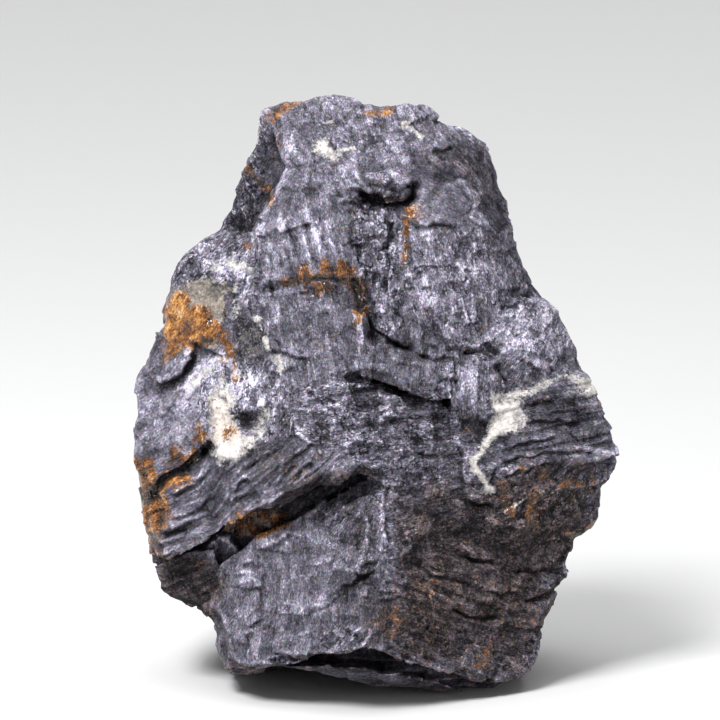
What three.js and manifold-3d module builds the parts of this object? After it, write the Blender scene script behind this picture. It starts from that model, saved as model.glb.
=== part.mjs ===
// A hand-sized lump of massive galena, standing on its broken base.
// Everything is one piece of rock, so the group holds one mesh.
//
// The rock is drawn in a "face frame": u runs right, v runs up the front face and w comes out of it, all
// in millimetres. The finished solid leans back by LEAN and stands on z = 0, with +Z up and its front
// facing -Y.

import * as THREE from "three";
import { ConvexGeometry } from "three/addons/geometries/ConvexGeometry.js";
import { mergeVertices } from "three/addons/utils/BufferGeometryUtils.js";
import Module from "manifold-3d";

const wasm = await Module();
wasm.setup();

// ---------------------------------------------------------------- driving dimensions, mm and degrees

const LEAN = THREE.MathUtils.degToRad(11); // how far the front face leans back from upright
const BASE_CUT = 0.95; // height of the ground it stands on, above the origin of the face frame
const MIDDLE = [-2, 38]; // the point that the rim shrinks towards, in front and behind
const MAX_EDGE = 2.6; // longest triangle edge left after refining
const CLOSING = { // how far closing an edge may move the surface: [longest such edge, mm moved]
  needles: [[1.1, 0.3], [Infinity, 0.1]],
  even: [[1.5, 0.14]],
};
const CLOSING_PASSES = 6;
const SMALLEST_AREA = 0.01; // of a triangle left by closing edges, mm2
const LARGEST_TURN = 0.5; // cosine of the most that a triangle may turn meanwhile
const GRAIN = 0.32; // height of the coarse roughness
const GRAIN_SIZE = 3.1; // width of one bump of it
const FINE_GRAIN = { share: 0.6, finer: 2.2, offset: 9 }; // smaller bumps, laid over the coarse ones
const LEAST_FLAT = 0.12; // share of the roughness that sharp edges and crevices keep
const CREVICE = 0.03; // how far every face is set back, so that the sides of a crevice never touch
const CONTACT = 0.02; // points lower than this are where the rock stands, and stay flat
const SAME_POINT = 1e-4; // corners closer together than this are one point

// The rim of the rock seen square on, clockwise from the top left corner: [u, v, w of its front edge].
const RIM = [
  [-15.7, 77.6, 1], [-15.0, 78.6, 1], [-12.8, 79.3, 1.5], [-10.4, 79.3, 2], [-8.5, 79.7, 2],
  [-5.5, 79.9, 2], [-2.8, 79.7, 2], [-2.0, 78.8, 2], [-0.8, 78.8, 2], [0.1, 78.3, 2],
  [1.2, 78.5, 2], [3.6, 78.8, 2], [6.5, 78.4, 2], [7.6, 77.9, 2], [9.3, 76.1, 2],
  [11.2, 75.7, 1.5], [12.7, 75.0, 1], [14.4, 73.3, 0.5], [15.5, 71.2, 0], [16.5, 68.5, 0],
  [18.1, 64.5, -0.5], [18.7, 61.9, -0.5], [19.7, 58.1, -0.5], [20.9, 54.1, 0], [22.3, 52.7, 0.5],
  [23.5, 51.8, 0.5], [24.3, 51.5, 0.5], [24.9, 50.5, 0.5], [25.9, 48.5, 0.5], [26.5, 46.5, 0.5],
  [26.9, 44.3, 0.5], [28.8, 42.1, 0.5], [29.5, 39.2, 0.5], [31.2, 35.6, 0.5], [32.3, 33.9, 1],
  [32.8, 32.3, 1], [32.7, 30.5, 1], [32.3, 29.7, 1], [31.3, 29.2, 0], [30.9, 28.3, 0],
  [30.1, 27.9, -0.5], [30.1, 25.5, -0.5], [29.9, 23.9, -0.5], [29.2, 22.4, -0.5], [27.6, 21.2, 0],
  [26.8, 20.9, 0], [26.5, 18.9, 0], [25.3, 17.7, 0], [25.2, 15.6, 0], [23.6, 14.4, 0.5],
  [23.9, 13.4, 0.5], [23.1, 11.5, 1], [23.2, 10.8, 1], [21.7, 9.1, 1.5], [21.3, 8.0, 1.5],
  [21.6, 6.5, 2], [21.5, 4.5, 2.5], [20.9, 3.4, 3], [18.7, 1.7, 4], [16.5, 0.5, 4.5],
  [13.2, 0.0, 5], [7.2, 0.4, 5.5], [0.5, 0.7, 6.5], [-0.8, 1.2, 7], [-3.5, 2.1, 8.5],
  [-6.1, 2.9, 10], [-10.1, 3.5, 10.5], [-12.8, 3.1, 10], [-15.5, 2.7, 8.5], [-18.1, 2.4, 7],
  [-20.1, 2.4, 5], [-20.9, 3.1, 4], [-21.2, 4.7, 3], [-20.8, 7.6, 2], [-22.0, 9.6, 1],
  [-23.6, 11.5, 1], [-25.5, 11.7, 1], [-27.7, 12.5, 1], [-28.9, 13.3, 0.5], [-29.4, 14.6, 0],
  [-29.3, 16.5, 0], [-30.8, 19.9, 0], [-31.6, 23.9, 0], [-32.0, 27.2, 0], [-32.7, 31.2, 0],
  [-32.1, 33.5, -0.5], [-32.4, 35.9, 0], [-31.5, 37.2, 0], [-32.0, 39.8, 0], [-31.5, 43.2, -0.5],
  [-30.1, 47.2, -0.5], [-28.1, 49.3, 0], [-28.1, 51.0, 0.5], [-27.5, 53.0, 0.5], [-27.5, 54.8, 0],
  [-26.7, 57.6, -0.5], [-25.7, 58.9, -0.5], [-23.7, 60.5, -0.5], [-21.9, 61.5, -0.5], [-20.1, 63.2, -1],
  [-19.2, 65.2, -1.5], [-18.4, 68.5, -1.5], [-17.3, 71.2, -1], [-16.1, 73.5, -0.5], [-15.5, 74.5, 0],
  [-15.9, 76.3, 0.5],
];

// How the rim closes in: [distance from the rim's front edge, share of its width left there, points over
// which its teeth are evened out]. In front of the rim it shrinks all round. Behind it the underside, which
// is what lies below UNDERSIDE, runs straight back, so that the rock has a base.
const FRONT_RINGS = [[1.2, 0.985, 0], [4.5, 0.945, 1], [9, 0.88, 2], [15, 0.76, 2], [22, 0.5, 2]];
const BACK_RINGS = [[-4, 0.985, 1], [-11, 0.94, 2], [-19, 0.86, 3], [-30, 0.72, 3]];
const UNDERSIDE = 8;

// The back of the rock: a few large broken faces, given by their corners.
const BACK_CORNERS = [
  [-15, 78, -5], [-4, 81, -7], [9, 78, -6], [17, 70, -5], [-20, 66, -6], [-6, 68, -13], [9, 66, -12],
  [21, 56, -6], [-29, 56, -6], [30, 42, -5], [-34, 42, -6], [-12, 52, -19], [14, 44, -20], [34, 31, -6],
  [-34, 22, -7], [-31, 12, -7], [-20, 24, -24], [4, 22, -28], [22, 20, -20], [31, 20, -6],
  [-22, 0, -16], [-12, -4, -25], [9, -4, -28], [21, -2, -17], [26, 4, -4], [-26, 4, -4],
];

// The rock behind the front blocks, up to the level that shows in its recesses.
const CORE = {
  top: [
    [-17, 77, -1], [-11, 81, 1], [8, 80, 1], [17, 71, -1.5], [21, 58, -2], [-22, 62, -2], [-13, 74, 2],
    [-14.5, 66, 1.5], [-1, 66, 6.6], [4, 63, 7.4], [12, 60, 6], [-9, 58, 8], [2, 54, 7.4],
  ],
  middle: [
    [-30, 58, -2], [22, 56, -2], [31, 42, -1.5], [34, 33, -1.5], [-33, 46, -2], [-34, 30, -2], [-18, 52, 3],
    [-9, 50, 6.5], [5, 53, 6.5], [14, 50, 4], [14, 41, 6.5], [8, 38, 9], [-1, 36, 9.5], [-10, 36, 8],
    [-18, 36, 5.5], [16, 30, 6.5], [-24, 30, 2], [0, 30, 8],
  ],
  low: [
    [-34, 31, -2], [34, 33, -1.5], [-30, 12, -2], [26, 16, -1.5], [22, 4, 0], [-22, 2, -4], [20, 0, 0],
    [-22, 22, 3], [-12, 26, 6], [0, 30, 7.5], [12, 24, 6], [14, 10, 4.5], [6, 2, 4.5], [-8, 6, 6],
    [-18, 8, 3], [-2, 16, 8],
  ],
};
const CORE_BACK = { top: -5, middle: -9, low: -15 };

// The blocks that make the front. Each is the hull of its front corners and of a smaller copy of them,
// `depth` further back. `lift` raises that copy, which undercuts the block's lower edge into an overhang.
const BLOCKS = [
  { // crown: the broad face under the skyline, ending below in a broken brow
    face: [
      [-14.5, 78, 1.5], [-9, 79.6, 2.5], [-3, 79.8, 3], [4, 78.6, 3], [9, 76, 3], [-12.2, 76, 4.5],
      [-11.7, 71, 7], [-11.8, 68.5, 8], [-7, 67.5, 9], [-2.2, 67.3, 9.8], [1, 66.7, 10.2],
      [6.4, 68.2, 9], [8.6, 71, 7],
    ],
    depth: 13, lift: 2,
  },
  { // broken lip in the middle of the brow
    face: [[0.8, 68, 10], [3.8, 67.8, 9.8], [4, 66.2, 9.5], [3, 65.3, 9.3], [1, 65.4, 9.5]],
    depth: 6, lift: 1.5,
  },
  { // upper right shoulder, falling away to the skyline
    face: [
      [4, 78.4, 2.8], [9, 76.2, 2.8], [12, 75.6, 2], [15, 72, 0.5], [17, 67, -0.3], [18.4, 62, -0.3],
      [6.4, 73, 7], [6.4, 68.4, 8.8], [6, 64.2, 8.7], [9, 62.4, 8.4], [13.6, 62, 6.4], [13.5, 68, 5],
    ],
    depth: 13, lift: 0,
  },
  { // smooth lens on that shoulder
    face: [
      [8, 67.6, 8.6], [11, 68, 7.4], [13.2, 66, 6.5], [13, 63.4, 6.8], [10, 62.6, 8.4],
      [7.6, 64.6, 9.1],
    ],
    depth: 5, lift: 0,
  },
  { // fan face, left of the middle: from the crest down to the rusty scarp
    face: [
      [-11.9, 70, 8.1], [-14, 65.4, 8.2], [-16.3, 61, 7.8], [-18.6, 57.4, 6.6], [-16.6, 54.6, 7.2],
      [-13, 54.4, 9], [-9, 55.3, 10.1], [-4.6, 55.7, 10.5], [-1.6, 54.9, 9.9], [-1.2, 52, 9.8],
      [-1.7, 60, 8.9], [-2.2, 67.2, 8.6],
    ],
    depth: 10, lift: 1.5,
  },
  { // striated face below the scarp
    face: [
      [-14.8, 53, 7.2], [-12, 54.5, 8.4], [-8, 55, 9.4], [-3, 54.4, 9.6], [-1, 51, 9.8],
      [-0.7, 46.5, 11], [-1.4, 43.5, 12.5], [-4.5, 42.5, 12.7], [-9.4, 42.6, 11.8], [-13.8, 44.6, 9.6],
      [-15.8, 49.5, 7.6],
    ],
    depth: 10, lift: 1,
  },
  { // sunken column right of the vertical step
    face: [
      [-2.8, 65, 7.9], [3.9, 65.2, 7.9], [4.6, 58, 8.6], [5.2, 50, 9.3], [5, 46.2, 9.3],
      [1.5, 47.5, 9.4], [-0.9, 48.8, 8.8], [-2, 57, 8.4],
    ],
    depth: 9, lift: 1,
  },
  { // ring-shaped knuckle in that column
    face: [
      [-1.5, 61.6, 8.8], [-0.9, 63.6, 8.7], [0.6, 63.8, 8.9], [1.3, 62.2, 9.2], [1.1, 60.2, 9.1],
      [-0.6, 59.6, 9],
    ],
    depth: 4, lift: 0,
  },
  { // right upper face
    face: [
      [3.8, 65, 8.7], [6.4, 66, 9], [9, 62.6, 8.5], [13.6, 63, 6.5], [18.6, 62, 0], [20.6, 54.6, 0.4],
      [16.2, 51.2, 5.2], [15.6, 46.6, 7.9], [10.4, 45.4, 10.7], [5.2, 45.5, 10.9], [4.4, 50, 9.9],
      [3.8, 58, 9.3],
    ],
    depth: 11, lift: 1,
  },
  { // block that overhangs in the middle of the rock
    face: [
      [0.2, 47.8, 8.2], [4.8, 45.8, 9.3], [9.9, 45, 10.6], [10.2, 38.9, 13.2], [6.2, 39.7, 13.7],
      [3, 41.1, 13.7], [1, 42.5, 13.2], [-2, 43.5, 12.9], [-3.8, 43.2, 12.6], [-0.8, 46.6, 10.2],
    ],
    depth: 7, lift: 3,
  },
  { // splinter hanging under it
    face: [[1.6, 39.8, 11.8], [3.4, 39.5, 12.2], [3.4, 37.2, 12], [2.4, 36.9, 11.8], [0.6, 38.2, 11.6]],
    depth: 4, lift: 1,
  },
  { // columns to its right
    face: [
      [9.8, 45.6, 10.6], [16.2, 45.4, 8.3], [17.2, 43.6, 7.2], [16.8, 39.2, 8.4], [14.4, 37, 10.2],
      [9.8, 38, 11.8], [12.8, 42, 11.1],
    ],
    depth: 8, lift: 1,
  },
  { // right bump, one of the palest faces
    face: [
      [15.6, 52, 5.7], [19.4, 52.8, 4.7], [22.8, 52.6, 2], [25.2, 50.4, 1], [26.8, 45, 0.8],
      [27.4, 42.6, 1.6], [22, 40.2, 5.4], [16.6, 40.2, 7.8], [15.4, 45, 8.1], [20.6, 47, 6.6],
    ],
    depth: 9, lift: 0.5,
  },
  { // right wedge: banded layers that end below in a thin ledge
    face: [
      [14.4, 39.4, 8.8], [19.6, 41.4, 6.8], [25, 43.4, 4.2], [28.8, 42.6, 0.8], [32.4, 34, 0.8],
      [32.8, 31.2, 1.4], [24.6, 31, 6.2], [18.8, 29.4, 8.2], [14.4, 27, 9.2], [12.6, 30, 10.1],
      [12.6, 35, 10.2], [20, 35, 8.3],
    ],
    depth: 9, lift: 1.5,
  },
  { // stained face under the wedge
    face: [
      [12.4, 29.6, 9.4], [14.4, 28.4, 9], [19, 30, 7.5], [24.6, 31.6, 5.4], [31, 30.6, 0.7],
      [30.2, 24, 0.2], [28, 21, 0.4], [25.6, 18, 0.6], [20, 17.6, 5.2], [12.6, 18.6, 9.2],
      [22, 24, 6.1],
    ],
    depth: 9, lift: 0,
  },
  { // belly right of the middle, between the overhanging block and the lower facet
    face: [
      [-5, 42, 10.9], [2, 38.8, 10.6], [9.8, 38.2, 10.8], [14.6, 38, 9.9], [14.8, 27.4, 9.4],
      [9, 25.4, 10.6], [2.4, 30.5, 12.5], [-3, 31.4, 14], [-7, 31.4, 14.6], [-9, 37, 12.8],
      [4, 33.4, 12.3],
    ],
    depth: 9, lift: 1,
  },
  { // left of the middle: the long diagonal overhang
    face: [
      [-14, 46.4, 9.4], [-8, 43.8, 11.8], [-4.2, 42.8, 12.4], [-4.6, 36, 13.5], [2.4, 31.1, 12.8],
      [-3.6, 31, 14.3], [-7.4, 29.8, 14.8], [-10, 28.4, 14.8], [-13.6, 26, 13.8], [-16, 25, 12.8],
      [-19.2, 23, 11.4], [-22.2, 27, 9.2], [-21.8, 31.4, 8.8], [-16, 31, 11.6], [-15.4, 40, 9.5],
    ],
    depth: 9, lift: 3.5,
  },
  { // its lower left end, with the parallel ridges
    face: [
      [-22, 32, 8], [-19, 25, 11.4], [-19.4, 22.9, 11.2], [-22.4, 20.8, 9.8], [-28, 17.6, 5.6],
      [-29.8, 18, 3], [-31, 21, 1.4], [-28.6, 27, 4.4], [-26, 30, 5.6], [-20, 28, 10],
    ],
    depth: 8, lift: 3,
  },
  { // white vein lump, left of the middle
    face: [
      [-23.2, 41, 5.4], [-20.8, 45.4, 6.2], [-19, 44.8, 7.2], [-14.2, 41, 9.7], [-14, 36.4, 10.5],
      [-15.2, 32.4, 10.9], [-20.6, 30.2, 9.3], [-23.2, 33.4, 6.8], [-19.4, 37, 8.8],
    ],
    depth: 7, lift: 1,
  },
  { // green-grey block above it
    face: [
      [-20.6, 57, 5.6], [-15.8, 56, 7.1], [-13.8, 51.5, 7.7], [-13.2, 45.6, 9.5], [-14, 40.6, 9.6],
      [-18, 42, 8], [-21.2, 45, 6], [-20.8, 51, 6.1],
    ],
    depth: 7, lift: 0.5,
  },
  { // left flank between the shoulder and the slabs
    face: [
      [-28.8, 50.4, 0.4], [-24, 48, 3.8], [-20, 46.8, 5.7], [-21.2, 40, 6], [-21.6, 34, 6.8],
      [-24, 31.2, 5.4], [-32.8, 31.2, 0.4], [-32.5, 36, 0.6], [-32.1, 40, 0.4], [-30.3, 47, 0],
      [-27, 38, 3.9],
    ],
    depth: 8, lift: 1,
  },
  { // raised plate on that flank
    face: [
      [-28.4, 44.6, 2.8], [-24.6, 46.9, 5.3], [-23.9, 46.1, 5.5], [-25, 43.6, 5.3], [-28, 41.2, 4.3],
      [-29.4, 41.8, 2.8],
    ],
    depth: 4, lift: 0.8,
  },
  { // rusty edge below it
    face: [
      [-32.7, 31.4, 0.4], [-27, 32.4, 3.6], [-23.4, 35.6, 5.2], [-22.4, 33.6, 6], [-26.6, 29.9, 4.2],
      [-29.6, 27.6, 2.8], [-27.8, 27, 4.4], [-28.2, 21.6, 3.6], [-30.6, 20.2, 0.6], [-32, 27, 0.2],
    ],
    depth: 6, lift: 0,
  },
  { // orange patch on the left shoulder
    face: [
      [-28.3, 52.8, 0.8], [-27.2, 54.8, 2.2], [-24, 56.4, 3.9], [-20, 57.4, 5.6], [-18.2, 55, 6.7],
      [-18.8, 50, 7], [-20.4, 45.8, 6.7], [-24.6, 46.6, 5.1], [-28.8, 45.4, 1.5], [-28, 48.6, 1.5],
      [-23.6, 51, 6],
    ],
    depth: 7, lift: 0.8,
  },
  { // left shoulder above it
    face: [
      [-27.6, 55, 0.3], [-26.4, 58.8, 0], [-23.8, 60.6, 0], [-20.2, 62, 1.2], [-16.4, 61.4, 5.4],
      [-17.2, 57.4, 6.2], [-19, 55.4, 6.1], [-24, 55.4, 4.2],
    ],
    depth: 7, lift: 0.3,
  },
  { // knob at the top left
    face: [
      [-15.7, 77.8, 1.4], [-14.8, 78.4, 2], [-12.4, 77.4, 4], [-12.2, 75, 4.6], [-14, 74.2, 2.8],
      [-15.8, 75, 1],
    ],
    depth: 6, lift: 0.3,
  },
  { // blunt nose at the lower left
    face: [
      [-29.4, 16.8, 0.7], [-26, 18.8, 3.6], [-21.4, 19.4, 6.6], [-20.4, 14, 5.8], [-22.4, 10.4, 3.4],
      [-26.4, 12, 2.7], [-29, 13.4, 1],
    ],
    depth: 6, lift: 0.5,
  },
  { // lower block, left facet, lit from above
    face: [
      [1.8, 30.6, 9.9], [-3.4, 27.5, 9.6], [-10, 23.9, 9.3], [-16, 20.6, 8.4], [-20.8, 17.2, 6.8],
      [-21.8, 12, 5.8], [-21.2, 7.6, 7.2], [-21.2, 4.4, 8], [-20.4, 3, 8], [-15.6, 4, 12.4],
      [-10, 5, 14.6], [-4, 6, 16.6], [-2, 7.2, 17.8], [-3.2, 16, 16], [0, 20, 15], [1.2, 26, 11.8],
    ],
    depth: 16, lift: 0.5,
  },
  { // lower block, right facet, turned away from the light
    face: [
      [3, 30.8, 11.6], [1.2, 26, 11.9], [0, 20, 15], [-2.6, 12.6, 17.2], [-2, 7, 17.8], [3, 5.2, 15.4],
      [8, 3.4, 12.4], [14, 1.4, 8.4], [19, 2.4, 4.6], [21.6, 5, 2.8], [21.5, 8.6, 2], [23.8, 12.6, 1],
      [25.6, 17, 0.8], [20, 20, 5.3], [14, 22, 9], [10, 28.5, 10.4],
    ],
    depth: 14, lift: 0.5,
  },
  { // thin layers under the lower lip
    face: [
      [-14, 4.2, 9.8], [-8, 4.4, 12], [-2, 4, 13.4], [4, 2.8, 12.4], [9, 1.2, 9.6], [13, 0.2, 5.8],
      [2, 0.6, 7.4], [-5, 2.6, 10],
    ],
    depth: 9, lift: 1,
  },
];
const BLOCK_TAPER = 0.84; // width of a block's back end against its front
// The rim, enlarged, in front of all the blocks: where the faces of the back run out to.
const FRONT_REACH = { wider: 1.1, taller: 1.06, lower: 3, out: 30 };

// Narrow gashes and cracks: the line along the bottom edge of each, [u, v, w of the surface], its width
// and depth. Each is cut as a row of V-shaped grooves.
const GASHES = [
  { line: [[-21.4, 33.4, 7], [-23.4, 32.2, 5.8], [-26, 30.2, 4.6], [-28.6, 28.6, 3.6], [-30.2, 26.4, 2.4]],
    width: 1.1, depth: 1.8 },
  { line: [[-14.2, 52.4, 7.8], [-12.6, 54.3, 8.8], [-9, 54.9, 9.6], [-5, 54.9, 10]],
    width: 0.6, depth: 1.2 },
  { line: [[-2.8, 55, 9.8], [-2, 53, 9.8], [-1.8, 51, 9.8]], width: 1.2, depth: 1.1 },
  { line: [[-1.1, 51, 9.8], [-1, 48, 10.2], [-0.3, 46.4, 10.6]], width: 0.9, depth: 2 },
  { line: [[-0.4, 48.4, 9], [1.5, 47.3, 9.3], [4.6, 45.8, 9.6]], width: 0.7, depth: 1.4 },
  { line: [[5, 45.2, 10.8], [7.4, 44.9, 11.2], [9.8, 45.2, 11]], width: 0.7, depth: 1.5 },
  { line: [[10.8, 34.2, 11.2], [13.8, 33.9, 10.2]], width: 0.8, depth: 1.4 },
  { line: [[16, 43.8, 8.2], [16.6, 41.2, 8.2]], width: 0.7, depth: 1.2 },
  { line: [[14.4, 46.2, 8.4], [15.6, 45.6, 8.1]], width: 1.1, depth: 1.5 },
  { line: [[17, 51.4, 5.4], [18.4, 51.5, 5], [19.6, 52.6, 4.4]], width: 0.7, depth: 1.2 },
  { line: [[-23.8, 46.4, 5.4], [-24, 44.4, 5.6], [-26, 42.4, 5], [-28.6, 41, 3.8]],
    width: 0.9, depth: 1.4 },
  { line: [[-5, 15, 16.8], [-2.6, 15.6, 17], [-0.2, 17, 16.2]], width: 1.1, depth: 1.6 },
  { line: [[10.2, 19, 10.6], [13, 18.3, 9.2], [16, 17.8, 7.6]], width: 0.6, depth: 0.8 },
  { line: [[5.8, 17.8, 13], [8.6, 16.4, 11.8], [13.2, 15.4, 9.2]], width: 0.6, depth: 0.8 },
  { line: [[18.6, 16.2, 5.6], [21.4, 16.8, 3.8], [24.8, 16.6, 1.2]], width: 0.6, depth: 0.8 },
  { line: [[-14.4, 5, 13.4], [-8, 5.5, 15.4], [-2, 5.3, 16.6], [2.6, 5.1, 15.6]], width: 1.2, depth: 2.4 },
  { line: [[-15.2, 36.6, 10.2], [-17.8, 36.8, 9.6]], width: 2.4, depth: 1.6 },
  // parallel ridges of the lower left slab
  { line: [[-27.6, 26.2, 4.9], [-24.6, 27.5, 7], [-22.2, 29.6, 8.6]], width: 0.8, depth: 0.6 },
  { line: [[-28, 24.6, 4.8], [-24.8, 25.7, 7.2], [-21.6, 28, 9.2]], width: 0.8, depth: 0.6 },
  { line: [[-28.2, 23, 4.8], [-24.8, 23.9, 7.6], [-21.2, 26, 9.8]], width: 0.8, depth: 0.6 },
  { line: [[-28.6, 21.4, 4.4], [-25, 22.2, 7.6], [-21.4, 24.2, 10]], width: 0.8, depth: 0.6 },
  // layers of the right wedge
  { line: [[15.6, 29, 9.5], [20, 31, 8], [24.8, 32.2, 6.3], [32, 32.2, 1.8]], width: 0.7, depth: 0.6 },
  { line: [[15, 31.2, 9.9], [20, 32.8, 8.3], [25, 33.7, 6.1], [31.6, 33.7, 1.6]], width: 0.7, depth: 0.6 },
  { line: [[19, 36.5, 8.3], [24, 36.7, 6.2], [28.6, 36.1, 3.2]], width: 0.8, depth: 0.6 },
];

// How far a groove's cutter stands out of the surface, how far it runs into the next one, in its own
// widths, and the share of that at its bottom.
const GROOVE = { clear: 3, overlap: 0.35, bottomOverlap: 0.4 };

// Behind the front, the rock is broken into flat cleavage slabs that all lie the same way and end in
// steps: the middle [u, v] of each, its size along its own edges, and the w of its back face there.
const SLABS = [
  { at: [-3, 24], size: [30, 36], back: -25 },
  { at: [11, 38], size: [23, 30], back: -19.5 },
  { at: [-15, 38], size: [24, 24], back: -16 },
  { at: [1, 56], size: [19, 27], back: -14 },
  { at: [-6, 70], size: [19, 17], back: -9.5 },
  { at: [11, 66], size: [14, 18], back: -7 },
  { at: [21, 25], size: [17, 23], back: -12.5 },
  { at: [-23, 22], size: [16, 20], back: -9 },
  { at: [-12, 8], size: [23, 18], back: -20.5 },
  { at: [13, 9], size: [19, 22], back: -23 },
  { at: [-22, 52], size: [13, 15], back: -6.5 },
  { at: [24, 40], size: [12, 17], back: -6 },
  { at: [3, 36], size: [12, 14], back: -26.5 },
];
const SLAB_TURN = [-9, 5, 21]; // turn of every slab about u, v and w, degrees

const GROUND = { width: 200, height: 60 }; // size of the box that cuts the rock off flat underneath

// Pits in the underside, bounded by cleavage like the slabs, which leave four places for the rock to stand
// on: the middle of each [right, in front of the rim], its size, and its height off the ground.
const PITS = [
  { at: [-6, -5], size: [19, 24], height: 3.2 },
  { at: [15, -12], size: [24, 8], height: 2.4 },
  { at: [-21, -24], size: [13, 17], height: 3 },
  { at: [3, -25], size: [9, 20], height: 2.6 },
  { at: [24, -8], size: [11, 40], height: 2.2 },
];
const PIT_TURN = THREE.MathUtils.degToRad(-SLAB_TURN[2]);
const PIT_TAPER = 0.6; // width of a pit's roof against its mouth

// ---------------------------------------------------------------- solids

function toSolid(geometry) {
  geometry.deleteAttribute("normal");
  geometry.deleteAttribute("uv");
  const merged = mergeVertices(geometry, SAME_POINT);
  return new wasm.Manifold(
    new wasm.Mesh({
      numProp: 3,
      vertProperties: new Float32Array(merged.attributes.position.array),
      triVerts: new Uint32Array(merged.index.array),
    }),
  );
}

function hull(corners) {
  return toSolid(new ConvexGeometry(corners.map((corner) => new THREE.Vector3(...corner))));
}

// A block with the given front corners, running back to a smaller, lifted copy of them.
function block({ face, depth, lift }) {
  const count = face.length;
  const middleU = face.reduce((sum, corner) => sum + corner[0], 0) / count;
  const middleV = face.reduce((sum, corner) => sum + corner[1], 0) / count;
  const backW = Math.min(...face.map((corner) => corner[2])) - depth;
  const back = face.map(([u, v]) => [
    middleU + (u - middleU) * BLOCK_TAPER,
    middleV + (v - middleV) * BLOCK_TAPER + lift,
    backW,
  ]);
  return hull([...face, ...back]);
}

// One V-shaped groove between two points of a gash.
function groove([u0, v0, w0], [u1, v1, w1], width, depth) {
  const length = Math.hypot(u1 - u0, v1 - v0);
  const sideU = (-(v1 - v0) / length) * (width / 2);
  const sideV = ((u1 - u0) / length) * (width / 2);
  const { clear, overlap, bottomOverlap } = GROOVE;
  const alongU = ((u1 - u0) / length) * width * overlap;
  const alongV = ((v1 - v0) / length) * width * overlap;
  const widen = 1 + clear / depth;
  const corners = [];
  for (const side of [-widen, widen]) {
    corners.push([u0 + side * sideU - alongU, v0 + side * sideV - alongV, w0 + clear]);
    corners.push([u1 + side * sideU + alongU, v1 + side * sideV + alongV, w1 + clear]);
  }
  corners.push([u0 - alongU * bottomOverlap, v0 - alongV * bottomOverlap, w0 - depth]);
  corners.push([u1 + alongU * bottomOverlap, v1 + alongV * bottomOverlap, w1 - depth]);
  return hull(corners);
}

// The rim at some distance from its front edge.
function rimRing(offset, share, even, keepUnderside) {
  const [middleU, middleV] = MIDDLE;
  return RIM.map(([u, v, w], i) => {
    const near = [];
    for (let step = -even; step <= even; step++) near.push(RIM.at((i + step) % RIM.length));
    const evenU = near.reduce((sum, point) => sum + point[0], 0) / near.length;
    const evenV = near.reduce((sum, point) => sum + point[1], 0) / near.length;
    if (keepUnderside && v < UNDERSIDE) return [middleU + (u - middleU) * share, v, w + offset];
    const upright = keepUnderside && v < middleV ? 1 : share;
    return [middleU + (evenU - middleU) * share, middleV + (evenV - middleV) * upright, w + offset];
  });
}

// The rim, closed in front and behind: everything outside it is cut away.
function rimEnvelope() {
  const rings = [];
  for (const step of [...FRONT_RINGS].reverse()) rings.push(rimRing(...step, false));
  rings.push(RIM);
  for (const step of BACK_RINGS) rings.push(rimRing(...step, true));

  const positions = rings.flat(2);
  const count = RIM.length;
  const index = [];
  for (let level = 0; level + 1 < rings.length; level++) {
    for (let i = 0; i < count; i++) {
      const a = level * count + i;
      const b = level * count + ((i + 1) % count);
      index.push(a, b, a + count, b, b + count, a + count);
    }
  }
  const frontMiddle = positions.length / 3;
  positions.push(MIDDLE[0], MIDDLE[1], FRONT_RINGS.at(-1)[0] + 1);
  positions.push(MIDDLE[0], MIDDLE[1], BACK_RINGS.at(-1)[0] - 1);
  const lastRing = (rings.length - 1) * count;
  for (let i = 0; i < count; i++) {
    const next = (i + 1) % count;
    index.push(frontMiddle, next, i);
    index.push(frontMiddle + 1, lastRing + i, lastRing + next);
  }
  const geometry = new THREE.BufferGeometry();
  geometry.setAttribute("position", new THREE.Float32BufferAttribute(positions, 3));
  geometry.setIndex(index);
  return toSolid(geometry);
}

// One cleavage slab, reaching forward into the middle of the rock.
function slab({ at, size, back }) {
  const [turnU, turnV, turnW] = SLAB_TURN.map(THREE.MathUtils.degToRad);
  const box = new THREE.BoxGeometry(size[0], size[1], -back);
  box.translate(0, 0, -back / 2);
  box.rotateZ(turnW);
  box.rotateX(turnU);
  box.rotateY(turnV);
  box.translate(at[0], at[1], back);
  return toSolid(box);
}

// Everything under the ground plane of the face frame, in which the ground tilts by LEAN.
function ground() {
  const { width, height } = GROUND;
  const box = new THREE.BoxGeometry(width, height, width);
  box.translate(0, BASE_CUT - height / 2, 0);
  box.rotateX(LEAN);
  return toSolid(box);
}

// One pit in the underside, drawn upright and then leaned like the ground.
function pit({ at, size, height }) {
  const corners = [];
  for (const right of [-size[0] / 2, size[0] / 2]) {
    for (const out of [-size[1] / 2, size[1] / 2]) {
      corners.push(new THREE.Vector3(right, BASE_CUT - height, out));
      corners.push(new THREE.Vector3(right * PIT_TAPER, BASE_CUT + height, out * PIT_TAPER));
    }
  }
  const geometry = new ConvexGeometry(corners);
  geometry.rotateY(PIT_TURN);
  geometry.translate(at[0], 0, at[1]);
  geometry.rotateX(LEAN);
  return toSolid(geometry);
}

// ---------------------------------------------------------------- surface

// The triangles of the largest connected shell. Gaps that the joined blocks close off inside are dropped.
function outerShell(triangles) {
  const parent = new Map();
  const root = (i) => {
    let top = i;
    while (parent.get(top) !== top) top = parent.get(top);
    parent.set(i, top);
    return top;
  };
  for (const i of triangles) parent.set(i, i);
  for (let i = 0; i < triangles.length; i += 3) {
    parent.set(root(triangles[i]), root(triangles[i + 1]));
    parent.set(root(triangles[i + 1]), root(triangles[i + 2]));
  }
  const sizes = new Map();
  for (const i of triangles) sizes.set(root(i), (sizes.get(root(i)) ?? 0) + 1);
  const largest = [...sizes].sort((a, b) => b[1] - a[1])[0][0];
  return triangles.filter((_, i) => root(triangles[i - (i % 3)]) === largest);
}

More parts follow.
